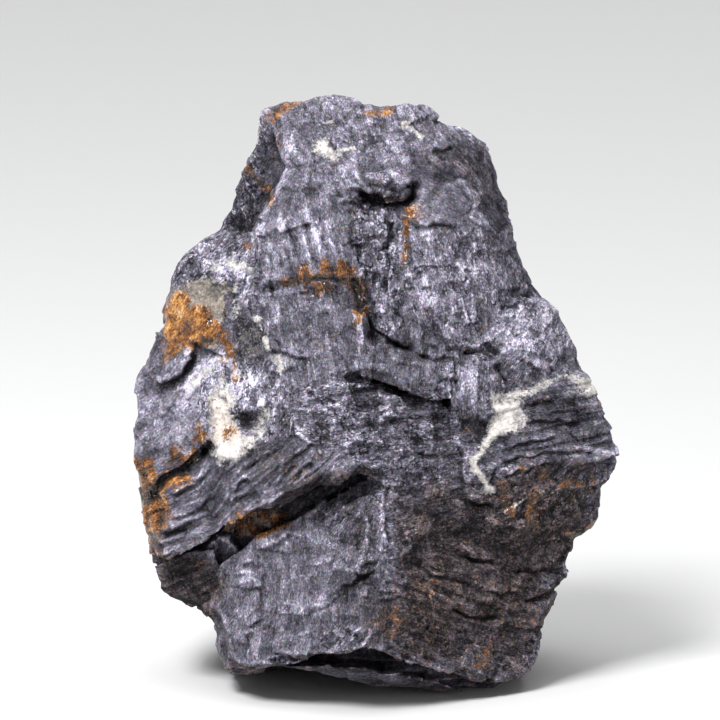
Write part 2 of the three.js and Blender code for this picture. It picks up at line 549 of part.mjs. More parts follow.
// Removes needle triangles: an edge is closed up to one point wherever that moves the surface less than
// `rules` allows for its length.
function simplify(coordinates, triangles, rules) {
  const points = [];
  for (let i = 0; i < coordinates.length; i += 3) {
    points.push(new THREE.Vector3(...coordinates.slice(i, i + 3)));
  }
  let faces = [];
  for (let i = 0; i < triangles.length; i += 3) faces.push([...triangles.slice(i, i + 3)]);
  for (let pass = 0; pass < CLOSING_PASSES; pass++) {
    const before = faces.length;
    faces = closeEdges(points, faces, rules);
    if (faces.length === before) break;
  }
  return dropUnused(points, faces.flat());
}

// Leaves out the points that no triangle uses any more.
function dropUnused(points, triangles) {
  const used = [...new Set(triangles)];
  const place = new Map(used.map((point, i) => [point, i]));
  return {
    positions: used.flatMap((point) => points[point].toArray()),
    triangles: triangles.map((corner) => place.get(corner)),
  };
}

// One pass of closing edges, shortest first.
function closeEdges(points, faces, rules) {
  const around = points.map(() => new Set());
  faces.forEach((face, i) => face.forEach((corner) => around[corner].add(i)));
  const edges = [];
  for (const [a, b, c] of faces) {
    for (const [i, j] of [[a, b], [b, c], [c, a]]) {
      if (i < j) edges.push([i, j, points[i].distanceTo(points[j])]);
    }
  }
  edges.sort((first, second) => first[2] - second[2]);
  const neighbours = (i) => {
    const corners = [...around[i]].flatMap((face) => faces[face]);
    return new Set(corners.filter((corner) => corner !== i));
  };
  for (const [i, j] of edges) {
    const length = points[i].distanceTo(points[j]);
    const rule = rules.find(([longest]) => length < longest);
    if (!rule || !around[i].size || !around[j].size) continue;
    const shared = [...around[i]].filter((face) => around[j].has(face));
    const common = [...neighbours(i)].filter((corner) => neighbours(j).has(corner));
    if (shared.length !== 2 || common.length !== 2) continue;
    const moved = closedPoint(points, faces, around, [i, j], shared, rule[1]);
    if (!moved) continue;
    points[i] = moved;
    for (const face of shared) {
      faces[face].forEach((corner) => around[corner].delete(face));
      faces[face] = null;
    }
    for (const face of around[j]) {
      faces[face] = faces[face].map((corner) => (corner === j ? i : corner));
      around[i].add(face);
    }
    around[j].clear();
  }
  return faces.filter(Boolean);
}

// Where an edge can be closed to with the least change, or null where that is more than allowed.
function closedPoint(points, faces, around, [i, j], shared, allowed) {
  const ring = new Set([...around[i], ...around[j]]);
  const planes = [...ring].map((face) => facePlane(faces[face].map((corner) => points[corner])));
  const kept = [...ring].filter((face) => !shared.includes(face));
  const candidates = [points[i], points[j], points[i].clone().lerp(points[j], 0.5)];
  let best = null;
  for (const place of candidates) {
    const error = Math.max(...planes.map((plane) => Math.abs(plane.distanceToPoint(place))));
    if (error > allowed || (best && error >= best.error)) continue;
    const turned = kept.some((face) => {
      const corners = faces[face].map((corner) => points[corner]);
      const after = faces[face].map((corner) => (corner === i || corner === j ? place : points[corner]));
      const area = new THREE.Triangle(...corners).getArea();
      const areaAfter = new THREE.Triangle(...after).getArea();
      if (area < SMALLEST_AREA) return areaAfter < area;
      if (areaAfter < SMALLEST_AREA) return true;
      return facePlane(corners).normal.dot(facePlane(after).normal) < LARGEST_TURN;
    });
    if (!turned) best = { place: place.clone(), error };
  }
  return best && best.place;
}

const facePlane = (corners) => new THREE.Plane().setFromCoplanarPoints(...corners);

// Splits every edge longer than `limit` at its middle until none is left, keeping the mesh closed.
function refine(positions, triangles, limit) {
  const points = [...positions];
  let faces = triangles;
  for (;;) {
    const middles = new Map();
    const key = (a, b) => (a < b ? `${a}_${b}` : `${b}_${a}`);
    const middleOf = (a, b) => {
      const length = Math.hypot(
        points[3 * a] - points[3 * b],
        points[3 * a + 1] - points[3 * b + 1],
        points[3 * a + 2] - points[3 * b + 2],
      );
      if (length <= limit) return -1;
      const name = key(a, b);
      if (!middles.has(name)) {
        middles.set(name, points.length / 3);
        for (let axis = 0; axis < 3; axis++) {
          points.push((points[3 * a + axis] + points[3 * b + axis]) / 2);
        }
      }
      return middles.get(name);
    };
    const next = [];
    for (let i = 0; i < faces.length; i += 3) splitFace(faces.slice(i, i + 3), middleOf, points, next);
    if (!middles.size) return { positions: points, triangles: faces };
    faces = next;
  }
}

// Cuts one triangle along the middles of its long edges.
function splitFace([a, b, c], middleOf, points, out) {
  const ab = middleOf(a, b);
  const bc = middleOf(b, c);
  const ca = middleOf(c, a);
  const split = [ab, bc, ca].filter((middle) => middle >= 0).length;
  if (split === 0) {
    out.push(a, b, c);
  } else if (split === 3) {
    out.push(a, ab, ca, ab, b, bc, ca, bc, c, ab, bc, ca);
  } else if (split === 1) {
    if (ab >= 0) out.push(a, ab, c, ab, b, c);
    else if (bc >= 0) out.push(b, bc, a, bc, c, a);
    else out.push(c, ca, b, ca, a, b);
  } else if (ab < 0) {
    out.push(c, ca, bc);
    splitQuad(ca, a, b, bc, points, out);
  } else if (bc < 0) {
    out.push(a, ab, ca);
    splitQuad(ab, b, c, ca, points, out);
  } else {
    out.push(b, bc, ab);
    splitQuad(bc, c, a, ab, points, out);
  }
}

// Cuts a quad along its shorter diagonal.
function splitQuad(a, b, c, d, points, out) {
  const span = (i, j) =>
    Math.hypot(
      points[3 * i] - points[3 * j],
      points[3 * i + 1] - points[3 * j + 1],
      points[3 * i + 2] - points[3 * j + 2],
    );
  if (span(a, c) <= span(b, d)) out.push(a, b, c, a, c, d);
  else out.push(a, b, d, b, c, d);
}

// A repeatable random number from 0 to 1 for a lattice point.
function lattice(x, y, z) {
  const mixed = Math.sin(x * 127.1 + y * 311.7 + z * 74.7) * 43758.5453;
  return mixed - Math.floor(mixed);
}

// Smooth noise between -1 and 1.
function noise(x, y, z) {
  const cell = [x, y, z].map(Math.floor);
  const ease = [x, y, z].map((value, axis) => THREE.MathUtils.smoothstep(value - cell[axis], 0, 1));
  let sum = 0;
  for (let corner = 0; corner < 8; corner++) {
    const step = [corner & 1, (corner >> 1) & 1, corner >> 2];
    const weight = step.reduce((product, on, axis) => product * (on ? ease[axis] : 1 - ease[axis]), 1);
    sum += weight * lattice(cell[0] + step[0], cell[1] + step[1], cell[2] + step[2]);
  }
  return sum * 2 - 1;
}

// How flat the mesh is around each point: 1 on a plane, 0 in a narrow crevice or on a knife edge.
function flatness(geometry) {
  const { position, normal } = geometry.attributes;
  const index = geometry.index.array;
  const flat = new Array(position.count).fill(1);
  for (let i = 0; i < index.length; i += 3) {
    const corners = [...index.slice(i, i + 3)];
    const points = corners.map((corner) => new THREE.Vector3().fromBufferAttribute(position, corner));
    const faceNormal = facePlane(points).normal;
    for (const corner of corners) {
      const agreement = faceNormal.dot(new THREE.Vector3().fromBufferAttribute(normal, corner));
      flat[corner] = Math.min(flat[corner], Math.max(agreement, 0));
    }
  }
  return flat;
}

// Moves each point a little along its normal, so that no face is dead flat, except where the rock stands.
function roughen(geometry) {
  geometry.computeVertexNormals();
  const { position, normal } = geometry.attributes;
  const flat = flatness(geometry);
  for (let i = 0; i < position.count; i++) {
    const point = new THREE.Vector3().fromBufferAttribute(position, i);
    if (point.z < CONTACT) continue;
    const coarse = noise(...point.clone().divideScalar(GRAIN_SIZE).toArray());
    const { share, finer, offset } = FINE_GRAIN;
    const fine = noise(...point.clone().divideScalar(GRAIN_SIZE / finer).addScalar(offset).toArray());
    const height = GRAIN * Math.max(flat[i], LEAST_FLAT) * (coarse + share * fine) - CREVICE;
    point.addScaledVector(new THREE.Vector3().fromBufferAttribute(normal, i), height);
    position.setXYZ(i, point.x, point.y, Math.max(point.z, CONTACT));
  }
}

// ---------------------------------------------------------------- the rock

function rockSolid() {
  const parts = Object.entries(CORE).map(([name, front]) =>
    hull([...front, ...front.map(([u, v]) => [u, v, CORE_BACK[name]])]),
  );
  parts.push(...BLOCKS.map(block), ...SLABS.map(slab));
  let rock = parts.reduce((whole, part) => whole.add(part));
  const { wider, taller, lower, out } = FRONT_REACH;
  const front = RIM.map(([u, v]) => [u * wider, v * taller - lower, out]);
  rock = rock.intersect(rimEnvelope()).intersect(hull([...BACK_CORNERS, ...front]));
  for (const { line, width, depth } of GASHES) {
    for (let i = 0; i + 1 < line.length; i++) {
      rock = rock.subtract(groove(line[i], line[i + 1], width, depth));
    }
  }
  for (const place of PITS) rock = rock.subtract(pit(place));
  return rock.subtract(ground());
}

function rockGeometry() {
  const mesh = rockSolid().getMesh();
  const clean = simplify(mesh.vertProperties, outerShell([...mesh.triVerts]), CLOSING.needles);
  const fine = refine(clean.positions, clean.triangles, MAX_EDGE);
  const { positions, triangles } = simplify(fine.positions, fine.triangles, CLOSING.even);
  const geometry = new THREE.BufferGeometry();
  geometry.setAttribute("position", new THREE.Float32BufferAttribute(positions, 3));
  geometry.setIndex(triangles);
  geometry.rotateX(Math.PI / 2 - LEAN);
  geometry.translate(0, 0, -BASE_CUT);
  roughen(geometry);
  geometry.computeBoundingBox();
  const middle = geometry.boundingBox.getCenter(new THREE.Vector3());
  return geometry.translate(-middle.x, -middle.y, 0);
}

const rock = new THREE.Mesh(
  rockGeometry(),
  new THREE.MeshStandardMaterial({ color: 0x77767f, roughness: 0.5, metalness: 0.6 }),
);
rock.name = "galena";

const specimen = new THREE.Group();
specimen.add(rock);
export default specimen;
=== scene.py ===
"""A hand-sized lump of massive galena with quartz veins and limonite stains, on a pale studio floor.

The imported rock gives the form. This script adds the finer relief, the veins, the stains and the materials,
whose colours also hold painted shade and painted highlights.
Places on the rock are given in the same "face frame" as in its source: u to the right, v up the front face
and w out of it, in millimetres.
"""

import math
from types import SimpleNamespace

import bpy
import numpy as np
from mathutils import Matrix, Vector


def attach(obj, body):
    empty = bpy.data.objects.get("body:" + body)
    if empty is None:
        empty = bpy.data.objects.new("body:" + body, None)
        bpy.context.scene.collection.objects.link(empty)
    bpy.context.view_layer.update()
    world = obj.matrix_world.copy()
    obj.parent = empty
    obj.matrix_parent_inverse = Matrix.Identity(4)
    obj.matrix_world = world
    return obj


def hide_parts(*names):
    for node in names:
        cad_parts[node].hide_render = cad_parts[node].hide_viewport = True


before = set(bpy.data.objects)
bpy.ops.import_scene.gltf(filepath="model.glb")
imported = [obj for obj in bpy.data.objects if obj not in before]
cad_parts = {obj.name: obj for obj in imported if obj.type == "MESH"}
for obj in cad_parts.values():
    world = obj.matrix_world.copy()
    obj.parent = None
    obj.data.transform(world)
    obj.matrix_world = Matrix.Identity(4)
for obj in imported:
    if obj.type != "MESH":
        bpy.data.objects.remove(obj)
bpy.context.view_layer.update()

# ------------------------------------------------------------------------------------------ measures

MM = 0.001
LEAN = math.radians(11)  # how far the front face leans back
ORIGIN = (0.094, 7.435, 0.95)  # where the face frame's origin is, from the rock's own, with its signs turned
VOXEL = 0.21  # mm, of the first remesh
TRIANGLES = 196000  # of the finished rock
FILLING = 16  # rounds of filling the creases between the solid's blocks
MOST_FILLED = 0.1  # mm, the most that one of those rounds adds
WANDER = [(0.40, 3.6, 201), (0.18, 1.4, 205)]  # how far edges wander: mm, over how many mm, and a seed
MELTING = 150  # rounds of evening out the places in MELTED
OFF_FLOOR = (0.05, 1.0)  # mm above the floor where changes of shape begin and are whole

FRONT_EDGE = -2.5  # w behind which the named places on the front fade out
BEHIND = 6  # mm behind it where they end for certain
FADE_BEHIND = 0.3  # how much of a place's edge is lost for each mm behind it
RAGGED = 0.35  # mm by which drawn lines wander
# Painted highlight at the crest of each drawn step and painted shadow at its foot.
STEP_PAINTED_HIGHLIGHT, STEP_PAINTED_SHADOW = 0.25, 0.6  # how much lighter and darker a drawn step is at its crest and foot

CLEAVAGE_TURN = (-9, 5, 21)  # degrees about u, v and w: how the cleavage planes of the back lie
BACK_LINES, PLATY_LINES = 0.03, 0.11  # height of the lines at the back, and what its platy places add
BACK_GRAIN, PLATY_GRAIN = 0.11, -0.07  # the same for the grain
BACK_VEINS, BACK_RUST = 0.9, 0.5  # strength of both there

LAYERS = [(3.2, 1.9, 21), (2.0, 0.95, 31)]  # layers in the relief: height, spacing in mm, and a seed
LAYERS_SUNK = 1.2  # how far the whole lies back, so that it stays level on average
LARGE_BRICKS = (3.8, 5.2, 9.0)  # mm across, along and into the grain
SMALL_BRICKS = (1.0, 1.5, 2.4)
BRICK_RISE, BRICK_END = 0.24, 0.40  # mm by which large bricks and their lower ends stand out
CLUSTERED = 2.4  # how much farther small bricks stand out where they cluster
SWELL, ROUGH, FINE = 0.30, 0.8, 0.03  # strength of the noise 5.5, 1.3 and 0.8 mm wide

LENS, SENSOR = 300, 36  # mm
AIM = (-2.133, 44.53, 2)  # u, v, w of the middle of the picture
CAMERA_AWAY = 800  # mm from there, square on to the front face
ROCK_MIDDLE = (0, 0, 0.04)  # m
LAMPS = [  # name, place, target, size and power
    ("key", (-0.22, -0.28, 0.52), ROCK_MIDDLE, (0.20, 0.20), 4.6),
    ("fill", (0.45, -0.5, 0.25), ROCK_MIDDLE, (0.5, 0.5), 0.4),
    ("overhead", (0, 0.3, 1.9), (0, 0.2, 0), (2.2, 2.2), 34.0),
]
SKY, SKY_STRENGTH = (0.95, 0.97, 1.0, 1), 0.16
FLOOR_COLOUR, FLOOR_ROUGHNESS = (0.68, 0.68, 0.68, 1), 0.7
FLOOR_FLAT, FLOOR_BEND, FLOOR_SIDES = 1.3, 0.3, 96  # m to where it curves up, radius of the curve, sides

# How the front is built up: [middle u, v, reach along u, v, direction of its lines from upright towards the
# right in degrees, height of its lines, height of its grain].
REGIONS = [
    [-4, 74, 9, 6, -20, 0.06, 0.06],  # crown
    [-14, 66, 3, 7, 29, 0.03, 0.03],  # crest beside the concave face
    [-16.5, 68, 2.5, 7, -30, 0.18, 0.14],  # concave glittering face
    [-10, 60, 6, 6, -14, 0.09, 0.05],  # fan face
    [-7, 48, 7, 6, -12, 0.16, 0.06],  # striated face
    [0.5, 57, 3, 9, 0, 0.08, 0.12],  # sunken column
    [9, 66, 5, 4, 120, 0.03, 0.02],  # smooth lens
    [10, 55, 7, 8, -18, 0.06, 0.085],  # right upper face
    [14, 70, 5, 7, -38, 0.12, 0.06],  # upper right shoulder
    [4, 44, 5, 4, 4, 0.12, 0.04],  # overhanging block
    [13, 42, 4, 4, 2, 0.08, 0.08],  # columns
    [20, 47, 5, 5, 30, 0.05, 0.08],  # right bump
    [-1, 37, 8, 5, 82, 0.09, 0.12],  # belly
    [-12, 29, 9, 4, 50, 0.30, 0.04],  # long diagonal overhang
    [-18, 38, 5, 6, 10, 0.06, 0.12],  # around the white vein
    [-26, 25, 4.5, 5, 66, 0.24, 0.02],  # lower left slab
    [-21.6, 27.5, 1.8, 4, 34, 0.22, 0.02],  # its right end, where the ridges turn up
    [-28, 40, 5, 7, 48, 0.04, 0.05],  # left flank
    [-22, 58, 6, 4, 20, 0.05, 0.12],  # left shoulder
    [-24, 50, 5, 5, 35, 0.04, 0.08],  # orange patch
    [-12, 14, 9, 8, 6, 0.05, 0.05],  # lower block, left facet
    [-5, 8, 3, 2, 40, 0.16, 0.10],  # rough corner of that facet
    [-3, 23, 3, 6, 22, 0.16, 0.08],  # its upper right edge
    [8, 26, 7, 6, 80, 0.05, 0.10],  # granular zone
    [14, 12, 9, 9, 108, 0.11, 0.08],  # lower block, right facet
    [24, 36, 8, 5, 80, 0.15, 0.06],  # right wedge
    [22, 24, 8, 6, 62, 0.07, 0.11],  # stained face
    [-26, 15, 5, 3, 66, 0.22, 0.06],  # nose
    [0, 3, 14, 2, 86, 0.26, 0.03],  # layers under the lower lip
]

# Borders that the rock doesn't have, between the solid's blocks: [u, v, reach along u, v, share evened out].
MELTED = [
    [-7.5, 67.8, 5, 2.2, 1.0], [6.4, 71.5, 1.8, 4.5, 0.8], [-17.2, 57.5, 3, 4, 0.9],
    [-1.9, 57, 1.6, 5, 0.75], [4.3, 56, 1.4, 9, 0.8], [0, 61.6, 2, 3, 0.7], [-16.5, 36.8, 2.6, 2.4, 0.6],
    [14.8, 45.8, 2.0, 1.3, 1.0], [-1, 66, 1.6, 1, 0.5], [3.4, 65.8, 1, 1, 0.5],
    [-12.4, 61.8, 4.4, 1.4, 0.95], [12.6, 38.2, 3.2, 1.2, 0.9], [17.0, 37.8, 2.6, 1.0, 0.8],
    [-9.0, 55.5, 5.0, 0.8, 0.45], [3.8, 29.4, 1.8, 2, 0.9], [5.2, 66.6, 1.6, 1.4, 0.5],
    [-14.2, 54.0, 1.5, 1.2, 1.0], [-20.8, 33.6, 1.2, 1, 0.6],
]

# Pits of the solid that are too deep: [middle u, v, reach along u, v, w of the rock around, its slope along
# u, depth that is left].
PITS = [
    [-14.3, 54.0, 1.9, 1.5, 7.7, 0.2, 0.3], [14.2, 46.2, 2.6, 1.3, 8.2, -0.4, 0.7],
    [-2.7, 42.3, 2.0, 1.5, 12.5, 0.1, 1.4], [-20.6, 18.8, 2.2, 1.8, 6.3, 0.35, 1.3],
]

# Cleavage steps: height, how far the raised ground slopes back, and the line it breaks off along. The ground
# to the left of the line's course is raised.
STEPS = [
    # crown and shoulder
    [0.35, 1.2, [(-5.9, 74.3), (-5.6, 73.2), (-5.1, 71.8)]],
    [0.30, 2.0, [(-1.4, 69.9), (-1.2, 68.2), (1.3, 67.6), (2.2, 68.8)]],
    [0.30, 1.5, [(-3.0, 69.2), (-2.4, 68.3), (-1.8, 67.6)]],
    [0.30, 1.4, [(6.6, 73.2), (5.4, 74.3), (4.0, 76.0), (2.2, 76.6)]],
    [0.30, 1.8, [(7.0, 72.2), (9.4, 72.6), (10.4, 73.4)]],
    [0.25, 1.4, [(4.4, 62.5), (7.0, 62.4), (9.5, 62.3), (10.6, 61.9)]],
    [0.35, 1.6, [(-4.6, 65.4), (-3.4, 65.6), (-2.2, 65.4)]],
    [0.30, 1.0, [(0.2, 59.6), (1.1, 60.2), (1.4, 61.6), (1.0, 63.0)]],
    [0.40, 1.2, [(-3.4, 60.0), (-2.4, 59.7), (-1.6, 60.0)]],
    # fan
    [0.14, 1.2, [(-10.4, 56.8), (-10.7, 58.2), (-11.6, 60.4), (-12.2, 63.0)]],
    [0.14, 1.4, [(-7.9, 56.2), (-8.8, 58.6), (-9.3, 61.0), (-9.9, 63.8)]],
    [0.14, 1.0, [(-6.6, 58.4), (-7.2, 60.6), (-7.3, 62.6)]],
    [0.14, 0.9, [(-12.9, 56.4), (-13.3, 59.0)]],
    [0.14, 0.9, [(-11.5, 56.2), (-12.3, 59.6)]],
    [0.14, 0.9, [(-14.0, 55.6), (-14.6, 58.6)]],
    [0.14, 0.9, [(-5.2, 57.8), (-5.9, 60.8)]],
    [0.25, 0.9, [(-9.5, 62.8), (-8.4, 62.6), (-7.4, 62.6)]],
    # middle
    [0.35, 1.4, [(-12.0, 45.2), (-10.0, 45.0), (-7.8, 44.8)]],
    [0.35, 1.2, [(5.2, 56.3), (6.2, 56.1)]],
    [0.30, 1.2, [(6.0, 54.2), (7.4, 54.1)]],
    [0.30, 1.4, [(10.0, 57.2), (11.4, 56.7), (12.8, 56.6)]],
    [0.25, 1.0, [(9.4, 54.8), (10.4, 54.6)]],
    [0.45, 1.6, [(1.0, 47.6), (2.8, 46.9), (4.6, 45.8)]],
    [0.40, 1.6, [(4.9, 45.5), (6.4, 45.0), (8.2, 44.8), (9.9, 45.2)]],
    [0.30, 1.2, [(6.3, 46.8), (8.4, 46.5)]],
    [0.30, 1.2, [(9.2, 46.2), (10.0, 46.1)]],
    [0.25, 1.4, [(12.8, 45.3), (14.4, 45.1), (16.0, 45.2)]],
    [0.35, 1.0, [(10.2, 40.0), (10.2, 42.4), (9.9, 45.0)]],
    [0.35, 1.2, [(17.3, 40.7), (16.6, 42.0), (15.7, 43.8)]],
    [0.30, 1.2, [(0.6, 37.4), (2.0, 37.0), (3.3, 36.8)]],
    [0.30, 1.2, [(5.6, 32.0), (5.2, 33.6), (5.1, 36.6)]],
    [0.35, 1.2, [(10.8, 34.3), (12.4, 33.9), (14.0, 34.0)]],
    [0.25, 1.0, [(10.4, 33.0), (11.8, 32.8)]],
    [0.35, 1.0, [(13.6, 36.3), (14.6, 36.4), (15.4, 36.0)]],
    [0.30, 1.2, [(-6.9, 39.4), (-5.8, 39.6), (-5.0, 39.0)]],
    [0.30, 1.0, [(-3.8, 35.8), (-2.6, 36.3)]],
    [0.25, 1.0, [(-8.0, 33.5), (-6.6, 34.0)]],
    [0.25, 1.0, [(-2.8, 33.4), (-1.4, 33.8), (0.2, 33.4)]],
    # long diagonal overhang
    [0.40, 1.0, [(-19.2, 27.2), (-17.8, 28.6), (-15.8, 29.0)]],
    [0.35, 1.0, [(-19.6, 25.6), (-17.6, 26.8), (-15.8, 27.4)]],
    [0.35, 1.0, [(-13.6, 27.8), (-11.6, 30.2), (-10.0, 31.2)]],
    [0.35, 1.0, [(-12.8, 29.6), (-10.8, 32.2), (-9.0, 33.2)]],
    [0.35, 1.0, [(-11.2, 28.8), (-9.4, 30.6), (-7.6, 31.2)]],
    [0.30, 1.0, [(-10.4, 31.6), (-8.8, 33.4), (-7.0, 34.6)]],
    # lower left
    [0.40, 1.0, [(-27.8, 26.6), (-24.6, 27.8), (-22.2, 29.8)]],
    [0.35, 1.0, [(-27.6, 23.6), (-25.4, 23.9), (-23.4, 25.0), (-21.6, 27.2)]],
    [0.35, 1.0, [(-28.4, 21.6), (-26.0, 22.3), (-23.6, 23.6)]],
    [0.35, 1.0, [(-29.6, 20.2), (-27.2, 20.6), (-24.8, 21.4)]],
    # lower block
    [0.30, 1.2, [(-18.0, 17.4), (-16.2, 18.0)]],
    [0.30, 1.2, [(-15.4, 19.6), (-12.8, 20.4), (-11.0, 22.0)]],
    [0.25, 1.8, [(-18.4, 14.3), (-16.6, 14.5), (-15.2, 15.0), (-15.2, 16.8)]],
    [0.22, 1.6, [(-15.5, 10.4), (-15.4, 12.6), (-15.6, 14.8)]],
    [0.25, 1.6, [(-17.2, 9.4), (-16.0, 9.8), (-14.4, 10.6)]],
    [0.22, 1.0, [(-17.4, 8.2), (-16.2, 8.8)]],
    [0.30, 2.0, [(-8.6, 11.3), (-6.6, 12.5), (-4.8, 13.8)]],
    [0.60, 1.6, [(-4.8, 14.8), (-3.0, 15.8), (-0.4, 17.2)]],
    [0.40, 1.4, [(-2.6, 17.0), (-1.0, 18.2), (0.4, 18.6)]],
    [0.30, 1.4, [(1.6, 19.0), (1.0, 22.0), (1.2, 25.0), (0.4, 28.0)]],
    [0.25, 1.2, [(-1.0, 20.0), (-0.8, 23.0), (-1.6, 25.4)]],
    [0.45, 1.6, [(5.6, 17.9), (7.2, 16.7), (10.0, 15.7), (13.0, 15.0)]],
    [0.40, 1.6, [(10.2, 19.0), (12.4, 18.4), (15.8, 18.0)]],
    [0.35, 1.6, [(17.6, 16.6), (21.0, 16.6), (25.2, 17.1)]],
    [0.30, 1.6, [(20.0, 12.8), (22.0, 13.2), (24.0, 14.2)]],
    [0.30, 1.6, [(14.6, 14.1), (16.6, 13.8), (19.2, 14.0)]],
    [0.30, 1.4, [(10.2, 12.0), (12.4, 10.8), (16.8, 10.4)]],
    [0.35, 1.4, [(11.4, 26.3), (13.2, 25.6), (15.4, 25.4)]],
    [0.30, 1.2, [(9.4, 22.2), (11.2, 21.8)]],
    [0.25, 0.9, [(0.0, 14.3), (3.2, 14.2)]],
    [0.25, 0.9, [(-0.2, 13.3), (2.8, 13.2)]],
    # right wedge and stained face
    [0.40, 1.2, [(14.8, 28.7), (18.0, 29.7), (22.0, 30.8), (25.0, 31.2)]],
    [0.40, 1.2, [(14.8, 30.6), (19.0, 31.8), (24.0, 32.6), (32.0, 32.2)]],
    [0.35, 1.2, [(19.0, 36.4), (24.0, 36.6), (28.0, 36.2)]],
    [0.30, 1.2, [(16.0, 32.6), (20.0, 33.8), (25.0, 34.4)]],
    [0.30, 1.2, [(20.0, 38.8), (23.6, 39.8)]],
    [0.30, 1.2, [(26.0, 27.2), (28.4, 27.6), (30.0, 27.6)]],
    [0.35, 1.2, [(22.8, 20.4), (26.0, 21.2), (29.4, 22.4)]],
    # left side
    [0.50, 1.4, [(-29.0, 41.0), (-26.2, 42.6), (-24.6, 44.6), (-24.4, 46.4)]],
    [0.40, 1.4, [(-21.0, 40.2), (-19.6, 39.0), (-18.8, 38.0)]],
    [0.35, 1.2, [(-22.8, 46.2), (-20.6, 45.2), (-20.0, 44.8)]],
]

# Grooves and cracks: half width, depth and the line, from left to right or downwards.
GROOVES = [
    [0.35, 0.6, [(-2.4, 64.8), (-3.2, 62.5), (-3.3, 60.5), (-2.0, 59.2)]],
    [0.30, 0.5, [(2.0, 62.3), (2.3, 61.0), (1.6, 59.6), (0.6, 59.0)]],
    [0.22, 0.4, [(4.5, 62.6), (7.0, 62.3), (9.5, 62.2), (11.0, 62.0)]],
    [0.45, 0.5, [(-3.1, 54.8), (-2.2, 53.4), (-1.7, 52.0), (-1.9, 50.6), (-3.0, 49.4)]],
    [0.40, 0.7, [(0.5, 37.2), (2.0, 36.7), (3.3, 37.0)]],
    [0.25, 0.4, [(5.0, 37.0), (4.9, 34.5), (5.2, 32.4), (6.2, 31.9), (8.0, 31.8)]],
    [0.40, 0.8, [(14.5, 46.6), (15.2, 46.0), (16.0, 45.6)]],
    [0.30, 0.6, [(9.5, 22.3), (11.0, 21.9)]],
    [0.30, 0.5, [(20.0, 12.4), (22.0, 13.0), (24.0, 14.1)]],
    [0.28, 0.5, [(10.3, 11.5), (13.0, 10.6), (17.0, 10.4)]],
    [0.30, 0.5, [(11.5, 26.1), (13.0, 25.5), (15.0, 25.2)]],
    [0.16, 0.35, [(-15.6, 16.0), (-15.4, 13.5), (-15.6, 11.0)]],
    [0.16, 0.30, [(-17.0, 9.0), (-15.6, 10.0), (-14.3, 10.7)]],
    [0.20, 0.40, [(-9.0, 11.0), (-7.0, 12.6), (-5.0, 14.0)]],
    [0.14, 0.25, [(-20.5, 14.2), (-18.0, 14.7), (-15.4, 15.2)]],
    [0.30, 0.5, [(-13.8, 45.6), (-11.6, 45.2)]],
    [0.35, 0.6, [(-8.6, 40.0), (-7.4, 39.0), (-6.4, 38.8)]],
    [0.25, 0.5, [(-21.2, 40.2), (-20.0, 38.8), (-19.2, 37.6)]],
]

# Low plates and hollows: height, width of the slope at the edge, and the outline.
PLATES = [
    [0.40, 0.25, [(-1.8, 66.9), (-1.6, 69.2), (2.2, 69.6), (4.0, 68.4), (5.0, 66.9), (3.2, 65.9),
                  (1.4, 66.3), (0.2, 66.8)]],
    [0.30, 0.30, [(5.0, 36.8), (7.4, 36.6), (7.5, 32.6), (6.6, 31.9), (5.3, 32.3)]],
    [0.35, 0.50, [(7.2, 62.9), (7.6, 65.6), (9.0, 67.8), (11.5, 67.9), (13.2, 66.2), (13.0, 63.4),
                  (10.6, 62.6)]],
    [-0.30, 0.30, [(16.6, 43.6), (18.3, 43.2), (18.0, 41.4), (17.0, 41.4)]],
    [0.25, 0.20, [(-18.2, 14.6), (-15.4, 15.0), (-15.3, 17.0), (-18.0, 16.6)]],
    [-0.18, 0.40, [(-12.2, 8.4), (-9.4, 9.0), (-8.9, 10.2), (-10.4, 10.8), (-12.2, 10.0)]],
    [-0.25, 0.40, [(-15.6, 4.9), (-12.2, 5.8), (-10.5, 7.4), (-12.6, 7.4), (-15.0, 6.4)]],
    [-0.60, 0.40, [(11.3, 36.4), (13.2, 37.0), (15.3, 36.4), (15.2, 34.8), (13.6, 33.9), (11.2, 34.0)]],
    [0.22, 0.30, [(-27.9, 52.8), (-25.4, 54.8), (-20.0, 55.0), (-20.0, 50.5), (-21.3, 46.3), (-22.5, 45.8),
                  (-24.2, 47.3), (-25.8, 45.9), (-28.4, 44.8), (-28.1, 51.0)]],
]

